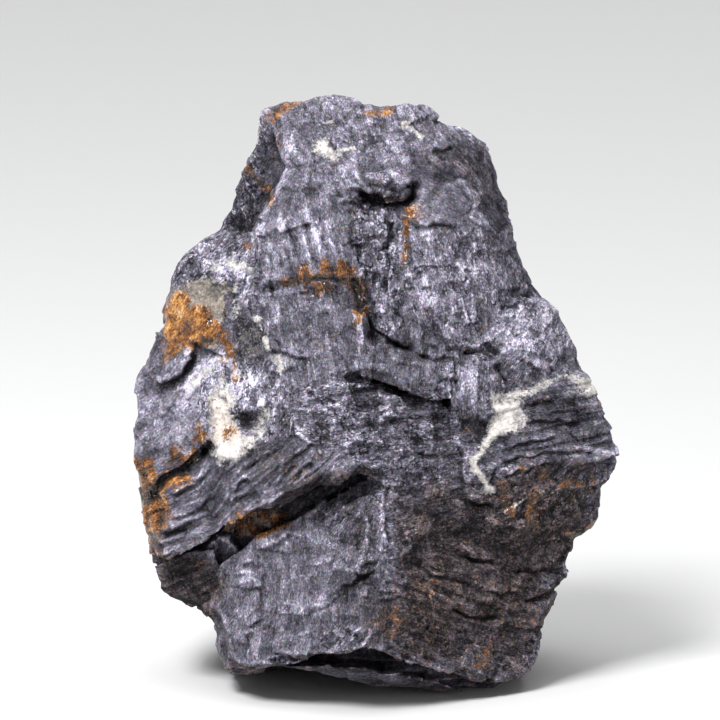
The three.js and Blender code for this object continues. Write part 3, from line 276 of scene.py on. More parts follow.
# Coloured places on the front: strength, width of a line or None for an outline, and the points.
QUARTZ = [
    [0.95, None, [(-22.6, 39.0), (-21.8, 41.2), (-20.0, 42.0), (-18.8, 39.6), (-18.9, 37.8), (-18.7, 35.6),
                  (-17.2, 34.4), (-16.0, 34.5), (-15.4, 35.6), (-15.2, 37.6), (-14.8, 39.0), (-14.2, 38.0),
                  (-14.4, 35.2), (-15.4, 33.4), (-17.0, 32.2), (-19.0, 31.2), (-20.5, 30.6), (-21.3, 31.4),
                  (-22.2, 33.5)]],
    [1.25, None, [(15.6, 39.2), (19.2, 39.6), (19.6, 37.2), (18.2, 35.0), (15.6, 34.4), (14.4, 33.6),
                  (15.4, 36.0)]],
    [1.2, 1.0, [(15.4, 34.8), (14.0, 33.0), (12.9, 31.5), (13.2, 30.0), (14.2, 28.6), (15.2, 27.2)]],
    [1.0, 1.1, [(22.7, 41.5), (20.8, 40.5), (19.0, 40.1), (15.6, 39.9)]],
    [0.85, 1.0, [(22.4, 41.3), (24.2, 42.5), (25.8, 42.8)]],
    [1.1, None, [(25.5, 43.0), (27.0, 42.9), (28.8, 42.0), (29.4, 39.9), (28.0, 39.8), (27.0, 40.4),
                 (26.0, 42.0)]],
    [0.95, None, [(-8.3, 72.7), (-7.5, 74.0), (-6.3, 74.3), (-5.8, 73.3), (-5.0, 72.0), (-6.0, 71.0),
                  (-7.4, 71.5)]],
    [1.2, 0.5, [(-5.0, 72.2), (-3.8, 72.4), (-2.6, 72.9)]],
    [1.1, 0.35, [(-7.0, 75.0), (-5.8, 76.3)]],
    [0.8, 0.3, [(2.6, 76.6), (4.2, 75.6)]],
    [1.3, 0.5, [(4.2, 75.6), (5.2, 74.8), (5.9, 73.9)]],
    [0.6, 0.5, [(11.0, 63.6), (11.8, 63.4), (12.2, 64.3)]],
    [0.8, 1.2, [(-21.6, 56.8), (-19.6, 57.6), (-18.2, 57.0), (-16.8, 56.4), (-16.4, 54.4)]],
    [0.75, 1.0, [(-18.9, 54.4), (-18.4, 52.2), (-18.8, 50.4)]],
    [1.4, 0.9, [(-15.7, 50.0), (-15.4, 49.8)]],
    [1.3, 0.4, [(-15.0, 48.8), (-14.9, 48.5)]],
    [1.3, 0.6, [(-14.5, 47.4), (-14.3, 46.2)]],
    [1.0, 1.0, [(-13.0, 45.2), (-12.8, 44.2), (-12.6, 43.2)]],
    [0.75, 1.6, [(-24.4, 41.0), (-23.0, 42.8), (-21.4, 44.4), (-20.6, 44.8)]],
    [0.7, 1.2, [(-22.3, 40.8), (-21.0, 41.4), (-20.6, 43.0)]],
    [0.6, 1.4, [(-18.2, 44.0), (-17.4, 42.6), (-17.6, 41.0)]],
    [0.5, None, [(-15.4, 77.8), (-14.6, 77.0), (-13.2, 75.5), (-13.2, 74.4), (-15.5, 74.3), (-15.8, 76.3)]],
    [0.7, 0.5, [(-16.6, 73.3), (-16.2, 70.9)]],
    [0.5, 0.3, [(-18.4, 68.0), (-17.4, 66.6), (-16.5, 65.5)]],
    [0.5, 0.7, [(2.9, 63.6), (3.2, 63.5)]],
    [1.0, 0.3, [(16.6, 24.1), (18.2, 25.3), (20.4, 26.4)]],
    [0.7, 0.3, [(23.6, 20.6), (24.8, 21.4), (25.6, 21.4)]],
    [0.8, 0.4, [(24.6, 25.9), (24.9, 25.2)]],
    [0.7, 0.3, [(28.6, 28.2), (28.9, 26.6)]],
]
RUST = [
    [1.0, None, [(-25.0, 46.4), (-25.4, 49.6), (-24.8, 51.4), (-23.6, 52.0), (-21.9, 50.9), (-20.6, 48.9),
                 (-21.1, 47.0), (-23.0, 46.0)]],
    [0.95, None, [(-28.6, 44.8), (-28.6, 51.0), (-27.2, 53.0), (-25.5, 54.2), (-24.6, 52.2), (-24.6, 47.0),
                  (-26.0, 46.2), (-27.4, 44.6)]],
    [1.0, 1.7, [(-20.4, 48.6), (-20.0, 46.8), (-19.4, 45.0)]],
    [1.0, 0.8, [(-12.5, 54.9), (-9.0, 55.3), (-6.6, 55.5)]],
    [0.8, 0.9, [(-19.3, 45.0), (-18.9, 43.4), (-18.5, 42.0)]],
    [0.9, None, [(-10.4, 55.4), (-10.2, 57.0), (-8.8, 56.8), (-8.4, 55.6)]],
    [0.9, None, [(-7.6, 55.6), (-7.4, 58.0), (-6.4, 58.4), (-5.4, 56.8), (-5.2, 55.0)]],
    [1.0, None, [(-5.2, 54.9), (-4.9, 57.4), (-3.6, 57.4), (-2.4, 55.6), (-1.2, 53.4), (-1.2, 51.0),
                 (-2.2, 51.6), (-3.2, 54.2)]],
    [0.9, None, [(-9.5, 53.0), (-9.3, 54.0), (-8.0, 54.0), (-8.0, 53.2)]],
    [1.1, None, [(-8.2, 53.2), (-8.0, 54.8), (-6.0, 54.9), (-5.8, 53.4)]],
    [1.2, 1.3, [(-3.6, 55.4), (-2.6, 54.2), (-2.0, 52.6), (-1.8, 51.4)]],
    [1.1, 0.7, [(-1.4, 51.8), (-1.7, 50.4), (-2.6, 49.5), (-3.6, 49.2)]],
    [0.9, 0.9, [(-1.0, 77.6), (-0.2, 77.5)]],
    [0.9, 1.2, [(0.8, 77.6), (2.0, 77.8)]],
    [0.9, None, [(3.3, 62.8), (3.4, 64.6), (4.6, 65.2), (6.1, 64.6), (5.6, 63.2), (4.6, 63.0)]],
    [1.0, 0.9, [(3.9, 63.0), (3.7, 60.6), (3.6, 57.6)]],
    [0.9, 0.6, [(5.6, 50.8), (6.4, 51.1)]],
    [0.9, 0.9, [(-10.2, 79.2), (-11.6, 78.7), (-12.8, 78.0), (-14.0, 76.5)]],
    [0.7, 0.7, [(-12.9, 74.5), (-12.8, 73.0)]],
    [0.9, 0.9, [(-17.4, 70.4), (-16.5, 69.3), (-15.0, 68.2), (-14.3, 66.9), (-14.0, 65.6)]],
    [0.9, 0.9, [(-17.4, 60.1), (-17.0, 59.9)]],
    [0.8, None, [(-20.6, 34.2), (-20.4, 35.8), (-19.6, 36.2), (-18.6, 34.8), (-19.6, 34.0)]],
    [0.28, None, [(-22.6, 33.6), (-22.4, 39.0), (-20.0, 40.0), (-18.6, 37.0), (-18.4, 34.0),
                  (-20.0, 33.0)]],
    [1.0, None, [(-24.3, 33.6), (-24.1, 35.4), (-23.3, 35.6), (-22.9, 34.2), (-23.4, 33.4)]],
    [1.0, None, [(-27.9, 30.8), (-27.6, 33.4), (-26.3, 33.6), (-25.6, 32.0), (-24.0, 33.2), (-22.8, 32.6),
                 (-23.6, 31.2), (-25.8, 30.6)]],
    [1.0, None, [(-28.9, 27.8), (-27.8, 30.0), (-25.2, 29.9), (-24.4, 28.8), (-26.6, 27.6)]],
    [1.1, None, [(-32.9, 31.0), (-30.3, 31.6), (-28.9, 29.6), (-29.3, 27.2), (-31.0, 26.0), (-32.6, 27.0)]],
    [1.1, None, [(-32.4, 26.9), (-28.4, 27.9), (-27.3, 25.4), (-28.1, 22.2), (-28.7, 19.8), (-30.8, 19.8),
                 (-32.0, 22.0)]],
    [0.9, 1.0, [(-29.6, 18.9), (-29.0, 18.5)]],
    [0.9, 0.6, [(-24.3, 17.1), (-23.8, 17.0)]],
    [1.1, None, [(-20.2, 22.0), (-18.8, 24.0), (-16.4, 24.6), (-14.0, 24.6), (-11.4, 24.0), (-12.0, 22.6),
                 (-15.4, 21.4), (-18.2, 21.0)]],
    [0.14, None, [(14.8, 20.0), (15.4, 29.6), (22.0, 31.2), (30.4, 30.4), (31.0, 23.0), (26.0, 18.4),
                  (18.0, 17.8)]],
    [0.26, None, [(-0.4, 5.0), (-0.2, 17.0), (9.0, 18.4), (20.0, 16.0), (24.0, 10.0), (20.0, 3.0),
                  (8.0, 1.0)]],
    [0.75, None, [(15.8, 25.6), (16.0, 28.8), (17.8, 29.0), (18.2, 26.6)]],
    [1.0, None, [(21.2, 28.4), (21.4, 30.2), (23.4, 30.2), (23.8, 28.6)]],
    [0.7, 0.9, [(18.6, 30.2), (19.8, 29.8)]],
    [1.0, 0.9, [(24.8, 27.5), (26.4, 28.1), (27.9, 27.4)]],
    [0.7, 0.9, [(28.4, 29.0), (29.0, 26.8)]],
    [0.9, 1.2, [(21.2, 27.0), (20.6, 24.4), (21.0, 22.4)]],
    [0.9, 0.9, [(16.6, 26.8), (17.2, 25.4), (17.4, 24.2)]],
    [1.1, 0.7, [(25.4, 21.2), (27.2, 21.6), (29.0, 22.6)]],
    [0.45, None, [(4.0, 13.0), (4.4, 16.4), (7.0, 16.9), (9.0, 15.6), (8.0, 13.4)]],
    [0.5, None, [(0.0, 8.2), (0.4, 12.8), (3.4, 13.2), (4.2, 9.6), (2.4, 8.0)]],
    [0.6, None, [(9.8, 4.5), (10.0, 6.4), (11.6, 6.6), (11.6, 4.8)]],
    [0.5, None, [(12.0, 2.6), (12.6, 6.2), (15.4, 6.4), (15.4, 3.0)]],
    [0.5, 0.9, [(-20.6, 3.3), (-15.0, 3.5), (-9.0, 4.2)]],
]

CRUST = [
    [1.0, None, [(-27.9, 52.8), (-25.4, 54.8), (-23.5, 55.4), (-20.0, 55.0), (-19.7, 53.0), (-20.0, 50.5),
                 (-20.8, 48.5), (-21.3, 46.3), (-22.5, 45.8), (-24.2, 47.3), (-25.8, 45.9), (-28.4, 44.8),
                 (-28.2, 46.5), (-27.8, 49.0), (-28.1, 51.0)]],
    [0.5, None, [(-18.6, 44.6), (-18.6, 49.6), (-15.4, 49.2), (-14.8, 44.6)]],
]
# Darker places: mostly painted shadow in gaps, cracks, recesses and beneath ledges and overhangs, partly
# darker rock, as on the concave face.
DARK_AND_PAINTED_SHADOW = [
    [0.6, 0.9, [(-16.4, 24.4), (-14.0, 24.8)]],
    [0.8, None, [(19.0, 36.0), (19.2, 37.0), (24.6, 37.0), (24.4, 36.0)]],
    [0.6, 0.9, [(-24.8, 57.2), (-23.8, 55.6)]],
    [0.5, 0.8, [(-21.4, 39.8), (-20.2, 38.8)]],
    [0.7, None, [(-15.4, 73.8), (-12.4, 74.2), (-12.3, 72.5), (-12.6, 69.5), (-13.6, 67.0), (-15.1, 65.0),
                 (-15.8, 63.0), (-17.6, 60.8), (-20.2, 61.5), (-19.6, 65.0), (-18.8, 68.5), (-17.4, 71.5)]],
    [0.55, None, [(-13.0, 25.6), (-10.0, 27.6), (-7.4, 29.0), (-3.5, 30.4), (1.6, 30.6), (-2.1, 28.5),
                  (-6.1, 25.9), (-10.1, 23.9), (-12.4, 22.6)]],
    [0.15, None, [(-20.0, 22.2), (-18.4, 24.4), (-13.6, 25.4), (-13.0, 22.6), (-18.1, 20.4)]],
    [1.0, None, [(-18.8, 38.3), (-15.9, 38.5), (-15.8, 35.1), (-17.6, 34.9), (-18.8, 36.4)]],
    [0.6, None, [(11.3, 36.4), (13.2, 37.0), (15.3, 36.4), (15.2, 34.8), (13.6, 33.9), (11.2, 34.0)]],
    [0.9, None, [(-2.2, 67.4), (5.4, 67.6), (5.0, 64.6), (-2.2, 64.6)]],
    [0.3, None, [(-0.3, 46.2), (1.6, 45.4), (2.2, 43.2), (0.4, 44.6)]],
    [0.5, None, [(3.5, 46.0), (4.7, 45.6), (4.8, 43.4), (3.6, 43.4)]],
    [0.9, None, [(-0.9, 49.8), (0.2, 49.6), (0.6, 48.0), (0.4, 47.1), (1.2, 46.6), (1.2, 45.2), (0.2, 46.2),
                 (-0.8, 47.0)]],
    [1.0, None, [(1.4, 47.4), (2.8, 47.4), (4.5, 46.0), (3.6, 45.8), (2.0, 46.2)]],
    [0.45, None, [(5.0, 45.6), (5.2, 49.8), (8.4, 50.0), (9.8, 46.8), (9.8, 45.6)]],
    [0.8, 0.4, [(6.3, 46.5), (8.2, 46.4)]],
    [0.8, 0.4, [(8.7, 46.2), (9.8, 46.2)]],
    [0.5, None, [(10.3, 45.8), (10.5, 46.9), (11.2, 46.7), (11.2, 45.7)]],
    [0.4, None, [(4.4, 37.2), (4.6, 38.4), (8.6, 38.2), (9.0, 37.0)]],
    [0.8, 0.4, [(17.0, 51.5), (18.6, 51.4)]],
    [0.9, 0.7, [(19.2, 52.6), (19.8, 52.4)]],
    [0.8, 0.5, [(15.8, 43.7), (16.4, 42.2), (17.2, 40.8)]],
    [1.1, None, [(-4.6, 42.4), (-3.4, 42.5), (-2.4, 43.4), (-0.6, 43.5), (1.6, 42.8), (2.2, 41.8),
                 (4.0, 41.2), (6.0, 40.2), (8.0, 38.9), (9.6, 39.4), (8.8, 38.2), (6.4, 38.8), (4.6, 38.0),
                 (3.2, 39.8), (0.8, 40.6), (-1.6, 41.0), (-3.0, 42.0)]],
    [0.8, 0.5, [(-0.7, 55.0), (-0.6, 52.4), (-0.8, 50.0)]],
    [1.0, 0.5, [(4.9, 45.5), (6.4, 44.9), (8.4, 44.8), (9.9, 45.2)]],
    [0.8, 0.6, [(11.8, 45.1), (14.0, 45.3), (16.0, 45.1)]],
    [0.8, 0.6, [(14.3, 48.0), (14.8, 46.6), (15.8, 45.8)]],
    [0.8, 0.6, [(5.4, 36.6), (5.2, 33.4), (6.2, 32.0), (8.2, 31.8)]],
    [0.6, 0.7, [(8.2, 38.0), (8.0, 35.2), (7.8, 32.4)]],
    [0.9, None, [(-3.8, 51.4), (-3.9, 55.0), (-1.6, 55.2), (-1.1, 51.2)]],
    [0.3, None, [(-10.8, 55.4), (-10.8, 57.4), (-6.0, 58.6), (-3.6, 57.6), (-3.0, 54.2), (-8.0, 53.2)]],
    [0.9, 0.6, [(-14.4, 54.0), (-13.2, 54.8), (-10.4, 55.2), (-7.0, 55.3), (-4.2, 55.2)]],
    [0.8, 1.2, [(-24.2, 45.2), (-26.2, 42.2), (-28.8, 40.8)]],
    [1.0, 1.4, [(-21.5, 33.0), (-22.5, 31.8), (-24.5, 30.5), (-27.0, 29.7), (-29.5, 27.5), (-30.3, 25.8)]],
    [0.8, None, [(-5.0, 14.0), (-4.6, 16.4), (-0.8, 17.8), (-0.4, 15.6), (-2.0, 14.4)]],
    [0.6, 1.0, [(-3.3, 64.6), (-3.4, 60.4), (-2.2, 58.8)]],
    [0.6, None, [(-9.0, 3.4), (-8.6, 5.6), (2.6, 5.6), (3.6, 4.2), (-2.0, 3.2)]],
    [0.8, None, [(-23.4, 24.6), (-21.0, 31.0), (-19.6, 29.8), (-20.6, 26.0), (-21.6, 22.8)]],
    [0.7, None, [(-18.8, 43.2), (-18.8, 50.4), (-15.4, 49.8), (-14.2, 46.0), (-15.4, 43.6)]],
    [0.5, None, [(-4.2, 20.0), (-3.8, 27.0), (-1.6, 28.0), (-1.6, 20.6)]],
    [0.35, None, [(18.6, 36.4), (20.4, 39.6), (27.6, 40.2), (28.4, 36.0)]],
]
# Lighter places: partly paler rock, as the cream bands and the orange patch, partly painted highlights along
# lit crests, ridges and edges.
PALE_AND_PAINTED_HIGHLIGHT = [
    [0.7, 1.6, [(-20.4, 57.4), (-18.0, 56.4), (-17.4, 53.8), (-16.6, 51.2)]],
    [0.9, None, [(-18.6, 44.6), (-17.0, 44.8), (-15.8, 42.8), (-15.6, 40.8), (-18.6, 40.0), (-19.2, 41.4)]],
    [0.5, 1.0, [(-15.0, 53.2), (-13.6, 51.8), (-13.2, 49.6)]],
    [0.25, 0.9, [(-12.4, 62.4), (-11.8, 60.0), (-11.2, 57.6)]],
    [0.3, 0.4, [(-1.2, 55.0), (-1.1, 50.0), (-1.0, 46.4)]],
    [0.3, None, [(7.2, 46.6), (7.4, 47.9), (8.2, 47.8), (8.3, 46.6)]],
    [0.6, 0.5, [(14.2, 47.7), (15.1, 47.3), (15.5, 46.8)]],
    [0.5, 0.5, [(18.4, 51.0), (19.6, 51.2)]],
    [0.5, 0.6, [(5.0, 53.6), (6.2, 53.4)]],
    [0.6, None, [(-28.6, 45.0), (-28.4, 51.0), (-27.0, 53.2), (-25.6, 53.6), (-25.4, 47.0)]],
    [0.2, None, [(-25.4, 47.0), (-25.2, 51.6), (-23.0, 52.0), (-20.8, 49.0), (-21.6, 46.6)]],
    [0.5, 0.9, [(-25.4, 54.8), (-23.0, 55.6), (-20.4, 55.4)]],
    [0.2, 1.6, [(-11.9, 73.4), (-12.2, 68.6), (-14.1, 65.2), (-16.0, 61.6), (-17.6, 58.2), (-18.8, 56.6)]],
    [0.3, 1.3, [(-9.4, 63.6), (-8.7, 62.0), (-7.9, 59.6)]],
    [0.4, 0.7, [(-6.4, 62.6), (-5.8, 60.0), (-5.4, 57.8)]],
    [0.4, 0.7, [(-14.6, 60.0), (-13.8, 57.4), (-13.4, 55.6)]],
    [0.6, 1.2, [(0.4, 28.0), (0.7, 24.0), (1.6, 21.6), (0.9, 18.6)]],
    [0.45, None, [(-18.2, 14.6), (-15.4, 15.0), (-15.3, 17.0), (-18.0, 16.6)]],
    [0.4, None, [(-18.0, 17.4), (-15.6, 17.6), (-15.5, 18.6), (-17.8, 18.4)]],
    [0.5, None, [(-13.0, 11.0), (-12.6, 13.0), (-5.4, 13.6), (-5.0, 11.4)]],
    [0.7, 0.6, [(-14.0, 20.4), (-12.4, 20.8), (-10.8, 21.8)]],
    [0.7, 0.7, [(14.5, 30.3), (20.0, 31.6), (25.0, 32.6), (32.0, 32.4)]],
    [0.6, 0.6, [(14.4, 28.5), (18.0, 29.5), (22.0, 30.4)]],
    [0.6, 0.9, [(2.4, 4.2), (5.0, 3.6), (8.6, 3.2)]],
    [0.9, 1.6, [(-24.8, 41.0), (-23.0, 43.0), (-21.0, 44.6)]],
    [0.8, 1.2, [(-19.0, 41.0), (-17.0, 43.0), (-15.6, 42.0)]],
    [0.6, 0.9, [(-29.0, 35.0), (-30.4, 37.4), (-30.2, 39.4)]],
    [0.6, None, [(20.5, 16.5), (20.7, 17.6), (22.5, 17.4), (22.2, 16.6)]],
    [0.3, None, [(16.4, 46.0), (15.6, 50.0), (19.0, 51.6), (23.0, 51.8), (23.0, 47.0), (20.0, 45.4)]],
    [0.6, 0.8, [(11.4, 56.4), (12.6, 56.2), (14.0, 56.6)]],
    [0.6, 1.2, [(-7.6, 68.6), (-6.0, 68.0), (-3.0, 68.2)]],
]

# Where the rock is darker or lighter, partly its own colour and partly painted shade, as on the lower block's
# right facet, which faces away from the light: [u, v, reach along u, v, turn of the reach in degrees,
# amount].
TONES_AND_SHADE = [
    [-4, 73, 10, 6, 0, 0.25], [-10.5, 60, 5, 5, 0, 0.6], [-22, 59, 4, 2.5, 30, 0.35],
    [-20, 42, 5, 5, 0, 0.65], [-12, 13, 8, 8, 0, 0.1], [20, 48, 6, 5, 0, 0.45], [12.5, 42, 4, 4, 0, 0.25],
    [11, 55, 6, 7, 0, 0.5], [-2.5, 23, 1.8, 5, -12, -0.3], [10, 65, 4, 3, 0, 0.25],
    [9.5, 70.5, 4, 2.5, 0, -0.45], [15.5, 66, 2.5, 8, -18, -0.25], [1, 57, 3, 8, 0, 0.25],
    [24, 35.5, 8, 5, 0, -0.2], [22, 24, 8, 6.5, 0, -0.65], [14, 13, 10, 10, 0, -0.7],
    [8, 24, 6, 6, 0, -0.4], [-25, 15, 5, 3.5, 0, -0.9], [-31, 46, 2, 5, 25, -0.3], [0, 4, 12, 2, 0, 0.2],
    [-27, 38, 4, 6, 0, 0.65], [-12, 30, 7, 3, 30, -0.3], [-7, 47, 6, 6, 0, 0.15], [-20, 8, 3, 6, 0, -0.1],
    [4, 44, 5, 3, 0, -0.2], [-2, 37, 6, 4, 0, 0.1], [-17, 68, 2, 6, -30, 0.16], [-10, 60, 5, 4, 0, -0.08],
    [-14, 66, 2.5, 5, 29, -0.15], [9.5, 65.5, 4, 3, 0, -0.15], [11, 55, 5, 6, 0, -0.12],
    [-26, 15, 4, 3, 0, -0.15], [-12, 30, 6, 2.5, 30, -0.12], [13.5, 42, 3, 3.5, 0, 0.12],
    [-18, 38, 4, 5, 0, 0.2], [4, 9, 4.5, 4.5, 0, -0.4], [4, 3, 8, 1.6, 0, 0.25],
    [5.2, 23.2, 4.5, 5, 0, -0.28], [-2.8, 12.5, 2.6, 4.5, 0, -0.3], [5.5, 12.5, 4.5, 5, 0, -0.12],
    [-27.5, 38.5, 3.5, 4.5, 0, -0.15],
]

# ------------------------------------------------------------------------------------------ numbers


def random_at(a, b, c, seed):
    """A repeatable number from 0 to 1 for each triple of whole numbers."""
    mixed = a.astype(np.int64).astype(np.uint32) * np.uint32(0x8DA6B343)
    mixed ^= b.astype(np.int64).astype(np.uint32) * np.uint32(0xD8163841)
    mixed ^= c.astype(np.int64).astype(np.uint32) * np.uint32(0xCB1AB31F)
    mixed ^= np.uint32((seed * 0x9E3779B1) & 0xFFFFFFFF)
    mixed ^= mixed >> np.uint32(15)
    mixed *= np.uint32(0x2C1B3C6D)
    mixed ^= mixed >> np.uint32(12)
    mixed *= np.uint32(0x297A2D39)
    mixed ^= mixed >> np.uint32(15)
    return mixed / 2.0**32


def noise(points, size, seed, octaves=1):
    """Smooth noise between -1 and 1 with bumps about `size` wide."""
    total, height, most = 0.0, 1.0, 0.0
    q = points / size
    for octave in range(octaves):
        cell = np.floor(q).astype(np.int64)
        t = q - cell
        t = t * t * (3 - 2 * t)
        value = 0.0
        for corner in range(8):
            step = [corner & 1, (corner >> 1) & 1, corner >> 2]
            share = 1.0
            for axis in range(3):
                share = share * (t[:, axis] if step[axis] else 1 - t[:, axis])
            a, b, c = (cell[:, axis] + step[axis] for axis in range(3))
            value = value + share * random_at(a, b, c, seed + octave)
        total = total + height * (2 * value - 1)
        most += height
        height *= 0.5
        q = q * 2.03 + 17.7
    return total / most


def bricks(q, size, seed):
    """A height from -1 to 1 for each broken column, and how proud its lower end stands, 0 to 1. The points q
    run across, along and into the columns."""
    wavy = 0.3 * noise(q, size[1], seed) + 0.1 * noise(q, size[0], seed + 7)
    across = np.floor(q[:, 0] / size[0] + wavy)
    none = np.zeros_like(across)
    offset = random_at(across, none, none, seed + 1) * 7
    place = q[:, 1] / size[1] + offset + 0.15 * noise(q, size[0], seed + 8)
    along = np.floor(place)
    into = np.floor(q[:, 2] / size[2] + random_at(across, along, none, seed + 2) * 3)
    height = random_at(across, along, into, seed + 3) * 2 - 1
    return height, (1 - (place - along)) * np.maximum(random_at(across, along, into, seed + 4) * 2 - 1, 0)


def layers(q, spacing, seed):
    """Heights of thin layers that overlap like shingles. Each rises across the grain from 0 to a height of
    its own, up to 1, breaks off there, and fades in and out along the grain."""
    drift = 1.1 * noise(q / (2.5 * spacing, 10 * spacing, 9 * spacing), 1.0, seed, 2)
    place = q[:, 0] / spacing + drift
    layer = np.floor(place)
    none = np.zeros_like(layer)
    own = random_at(layer, none, none, seed + 3)
    along = np.stack([layer * 3.7, q[:, 1] / (4 * spacing), q[:, 2] / (6 * spacing)], axis=1)
    return (place - layer) * own * smoothstep(-0.6, 0.6, noise(along, 1.0, seed + 4, 2))


def smoothstep(low, high, x):
    t = np.clip((x - low) / (high - low), 0, 1)
    return t * t * (3 - 2 * t)


def line_distance(uv, line):
    """Distance from each point to a polyline."""
    best = np.full(len(uv), np.inf)
    for a, b in zip(line[:-1], line[1:]):
        a, b = np.array(a), np.array(b)
        t = np.clip((uv - a) @ (b - a) / max((b - a) @ (b - a), 1e-9), 0, 1)
        best = np.minimum(best, np.linalg.norm(uv - a - t[:, None] * (b - a), axis=1))
    return best


def step_distance(uv, line):
    """Distance from each point to a line, positive to the left of its course, and how far along it that is,
    0 to 1."""
    best, side, along = np.full(len(uv), np.inf), np.zeros(len(uv)), np.zeros(len(uv))
    lengths = [math.dist(a, b) for a, b in zip(line[:-1], line[1:])]
    passed = 0.0
    for a, b, length in zip(line[:-1], line[1:], lengths):
        a, b = np.array(a), np.array(b)
        t = np.clip((uv - a) @ (b - a) / length**2, 0, 1)
        away = uv - a - t[:, None] * (b - a)
        distance = np.linalg.norm(away, axis=1)
        closer = distance < best
        turned = (b - a)[0] * away[:, 1] - (b - a)[1] * away[:, 0]
        side = np.where(closer, np.sign(turned), side)
        along = np.where(closer, (passed + t * length) / sum(lengths), along)
        best = np.minimum(best, distance)
        passed += length
    return best * side, along


def inside_distance(uv, outline):
    """Distance from each point to an outline, positive inside it."""
    closed = list(outline) + [outline[0]]
    distance = line_distance(uv, closed)
    inside = np.zeros(len(uv), bool)
    for (u0, v0), (u1, v1) in zip(closed[:-1], closed[1:]):
        if v0 == v1:
            continue
        crosses = (v0 > uv[:, 1]) != (v1 > uv[:, 1])
        inside ^= crosses & (uv[:, 0] < (u1 - u0) * (uv[:, 1] - v0) / (v1 - v0) + u0)
    return np.where(inside, distance, -distance)


def place_mask(face, places, soft, wander):
    """How far each point belongs to the named places, 0 to 1, with edges that wander."""
    shifted = face[:, :2] + wander * np.stack([noise(face, 1.7, 71, 2), noise(face, 1.7, 73, 2)], axis=1)
    behind = np.maximum(FRONT_EDGE - face[:, 2], 0)
    mask = np.zeros(len(face))
    for strength, width, line in places:
        pts = np.array(line)
        reach = 3 + (width or 0)
        in_box = np.all((shifted > pts.min(0) - reach) & (shifted < pts.max(0) + reach), axis=1)
        near = np.flatnonzero(in_box & (behind < BEHIND))
        if width is None:
            depth, edge = inside_distance(shifted[near], line), soft
        else:
            depth, edge = width / 2 - line_distance(shifted[near], line), min(soft, 0.15 + width / 2)
        depth -= FADE_BEHIND * behind[near]
        mask[near] = np.maximum(mask[near], strength * np.clip(0.5 + depth / (2 * edge), 0, 1))
    return mask


# ------------------------------------------------------------------------------------------ the mesh


def to_face(points):
    """World millimetres to the face frame."""
    u = points[:, 0] + ORIGIN[0]
    y = points[:, 1] + ORIGIN[1]
    z = points[:, 2] + ORIGIN[2]
    sin, cos = math.sin(LEAN), math.cos(LEAN)
    return np.stack([u, z * cos + y * sin, z * sin - y * cos], axis=1)


def from_face(u, v, w):
    """A place in the face frame, in world metres."""
    sin, cos = math.sin(LEAN), math.cos(LEAN)
    return Vector((u - ORIGIN[0], v * sin - w * cos - ORIGIN[1], v * cos + w * sin - ORIGIN[2])) * MM


def new_mesh(name, points, faces):
    mesh = bpy.data.meshes.new(name)
    mesh.from_pydata(points, [], faces)
    mesh.update()
    return mesh


def link(name, mesh):
    piece = bpy.data.objects.new(name, mesh)
    bpy.context.scene.collection.objects.link(piece)
    return piece


def modified(piece, kind, **settings):
    """The mesh that a modifier makes of a piece, put in its place."""
    modifier = piece.modifiers.new(kind, kind)
    for key, value in settings.items():
        setattr(modifier, key, value)
    bpy.context.view_layer.update()
    mesh = bpy.data.meshes.new_from_object(piece.evaluated_get(bpy.context.evaluated_depsgraph_get()))
    piece.modifiers.clear()
    piece.data = mesh
    return mesh


def move_points(mesh, points):
    mesh.vertices.foreach_set("co", points.astype(np.float32).ravel())
    mesh.update()


def points_of(mesh):
    flat = np.empty(len(mesh.vertices) * 3, np.float32)
    mesh.vertices.foreach_get("co", flat)
    return flat.reshape(-1, 3).astype(float)


def normals_of(mesh):
    flat = np.empty(len(mesh.vertices) * 3, np.float32)
    mesh.vertex_normals.foreach_get("vector", flat)
    return flat.reshape(-1, 3).astype(float)


def edges_of(mesh):
    flat = np.empty(len(mesh.edges) * 2, np.int32)
    mesh.edges.foreach_get("vertices", flat)
    return flat.reshape(-1, 2)


def evened(values, edges, times):
    """Each point's value averaged with its neighbours', several times over."""
    count = np.bincount(edges.ravel(), minlength=len(values)).astype(float)
    out = values.copy()
    for _ in range(times):
        total = np.zeros_like(out)
        for axis in range(out.shape[1]):
            total[:, axis] = np.bincount(edges[:, 0], out[edges[:, 1], axis], len(out))
            total[:, axis] += np.bincount(edges[:, 1], out[edges[:, 0], axis], len(out))
        out = 0.5 * out + 0.5 * total / np.maximum(count, 1)[:, None]
    return out


def regions_of(face):
    """The region of each point, the heights of its lines and grain, and whether it is behind the front."""
    wandering = face[:, :2] + 1.2 * np.stack([noise(face, 4.0, 11, 2), noise(face, 4.0, 12, 2)], axis=1)
    best = np.full(len(face), np.inf)
    region = np.zeros(len(face), int)
    lines, grain, most = 0.0, 0.0, 0.0
    for i, (u, v, ru, rv, _, line_height, grain_height) in enumerate(REGIONS):
        far = ((wandering[:, 0] - u) / ru) ** 2 + ((wandering[:, 1] - v) / rv) ** 2
        region = np.where(far < best, i, region)
        best = np.minimum(best, far)
        weight = np.exp(-4 * np.minimum(far, 40))
        lines, grain, most = lines + weight * line_height, grain + weight * grain_height, most + weight
    back = face[:, 2] < FRONT_EDGE + 1.5 * noise(face, 5.0, 14)
    platy = smoothstep(-0.3, 0.5, noise(face, 8.0, 15, 2))
    lines = np.where(back, BACK_LINES + PLATY_LINES * platy, lines / np.maximum(most, 1e-30))
    grain = np.where(back, BACK_GRAIN + PLATY_GRAIN * platy, grain / np.maximum(most, 1e-30))
    return region, lines, grain, back


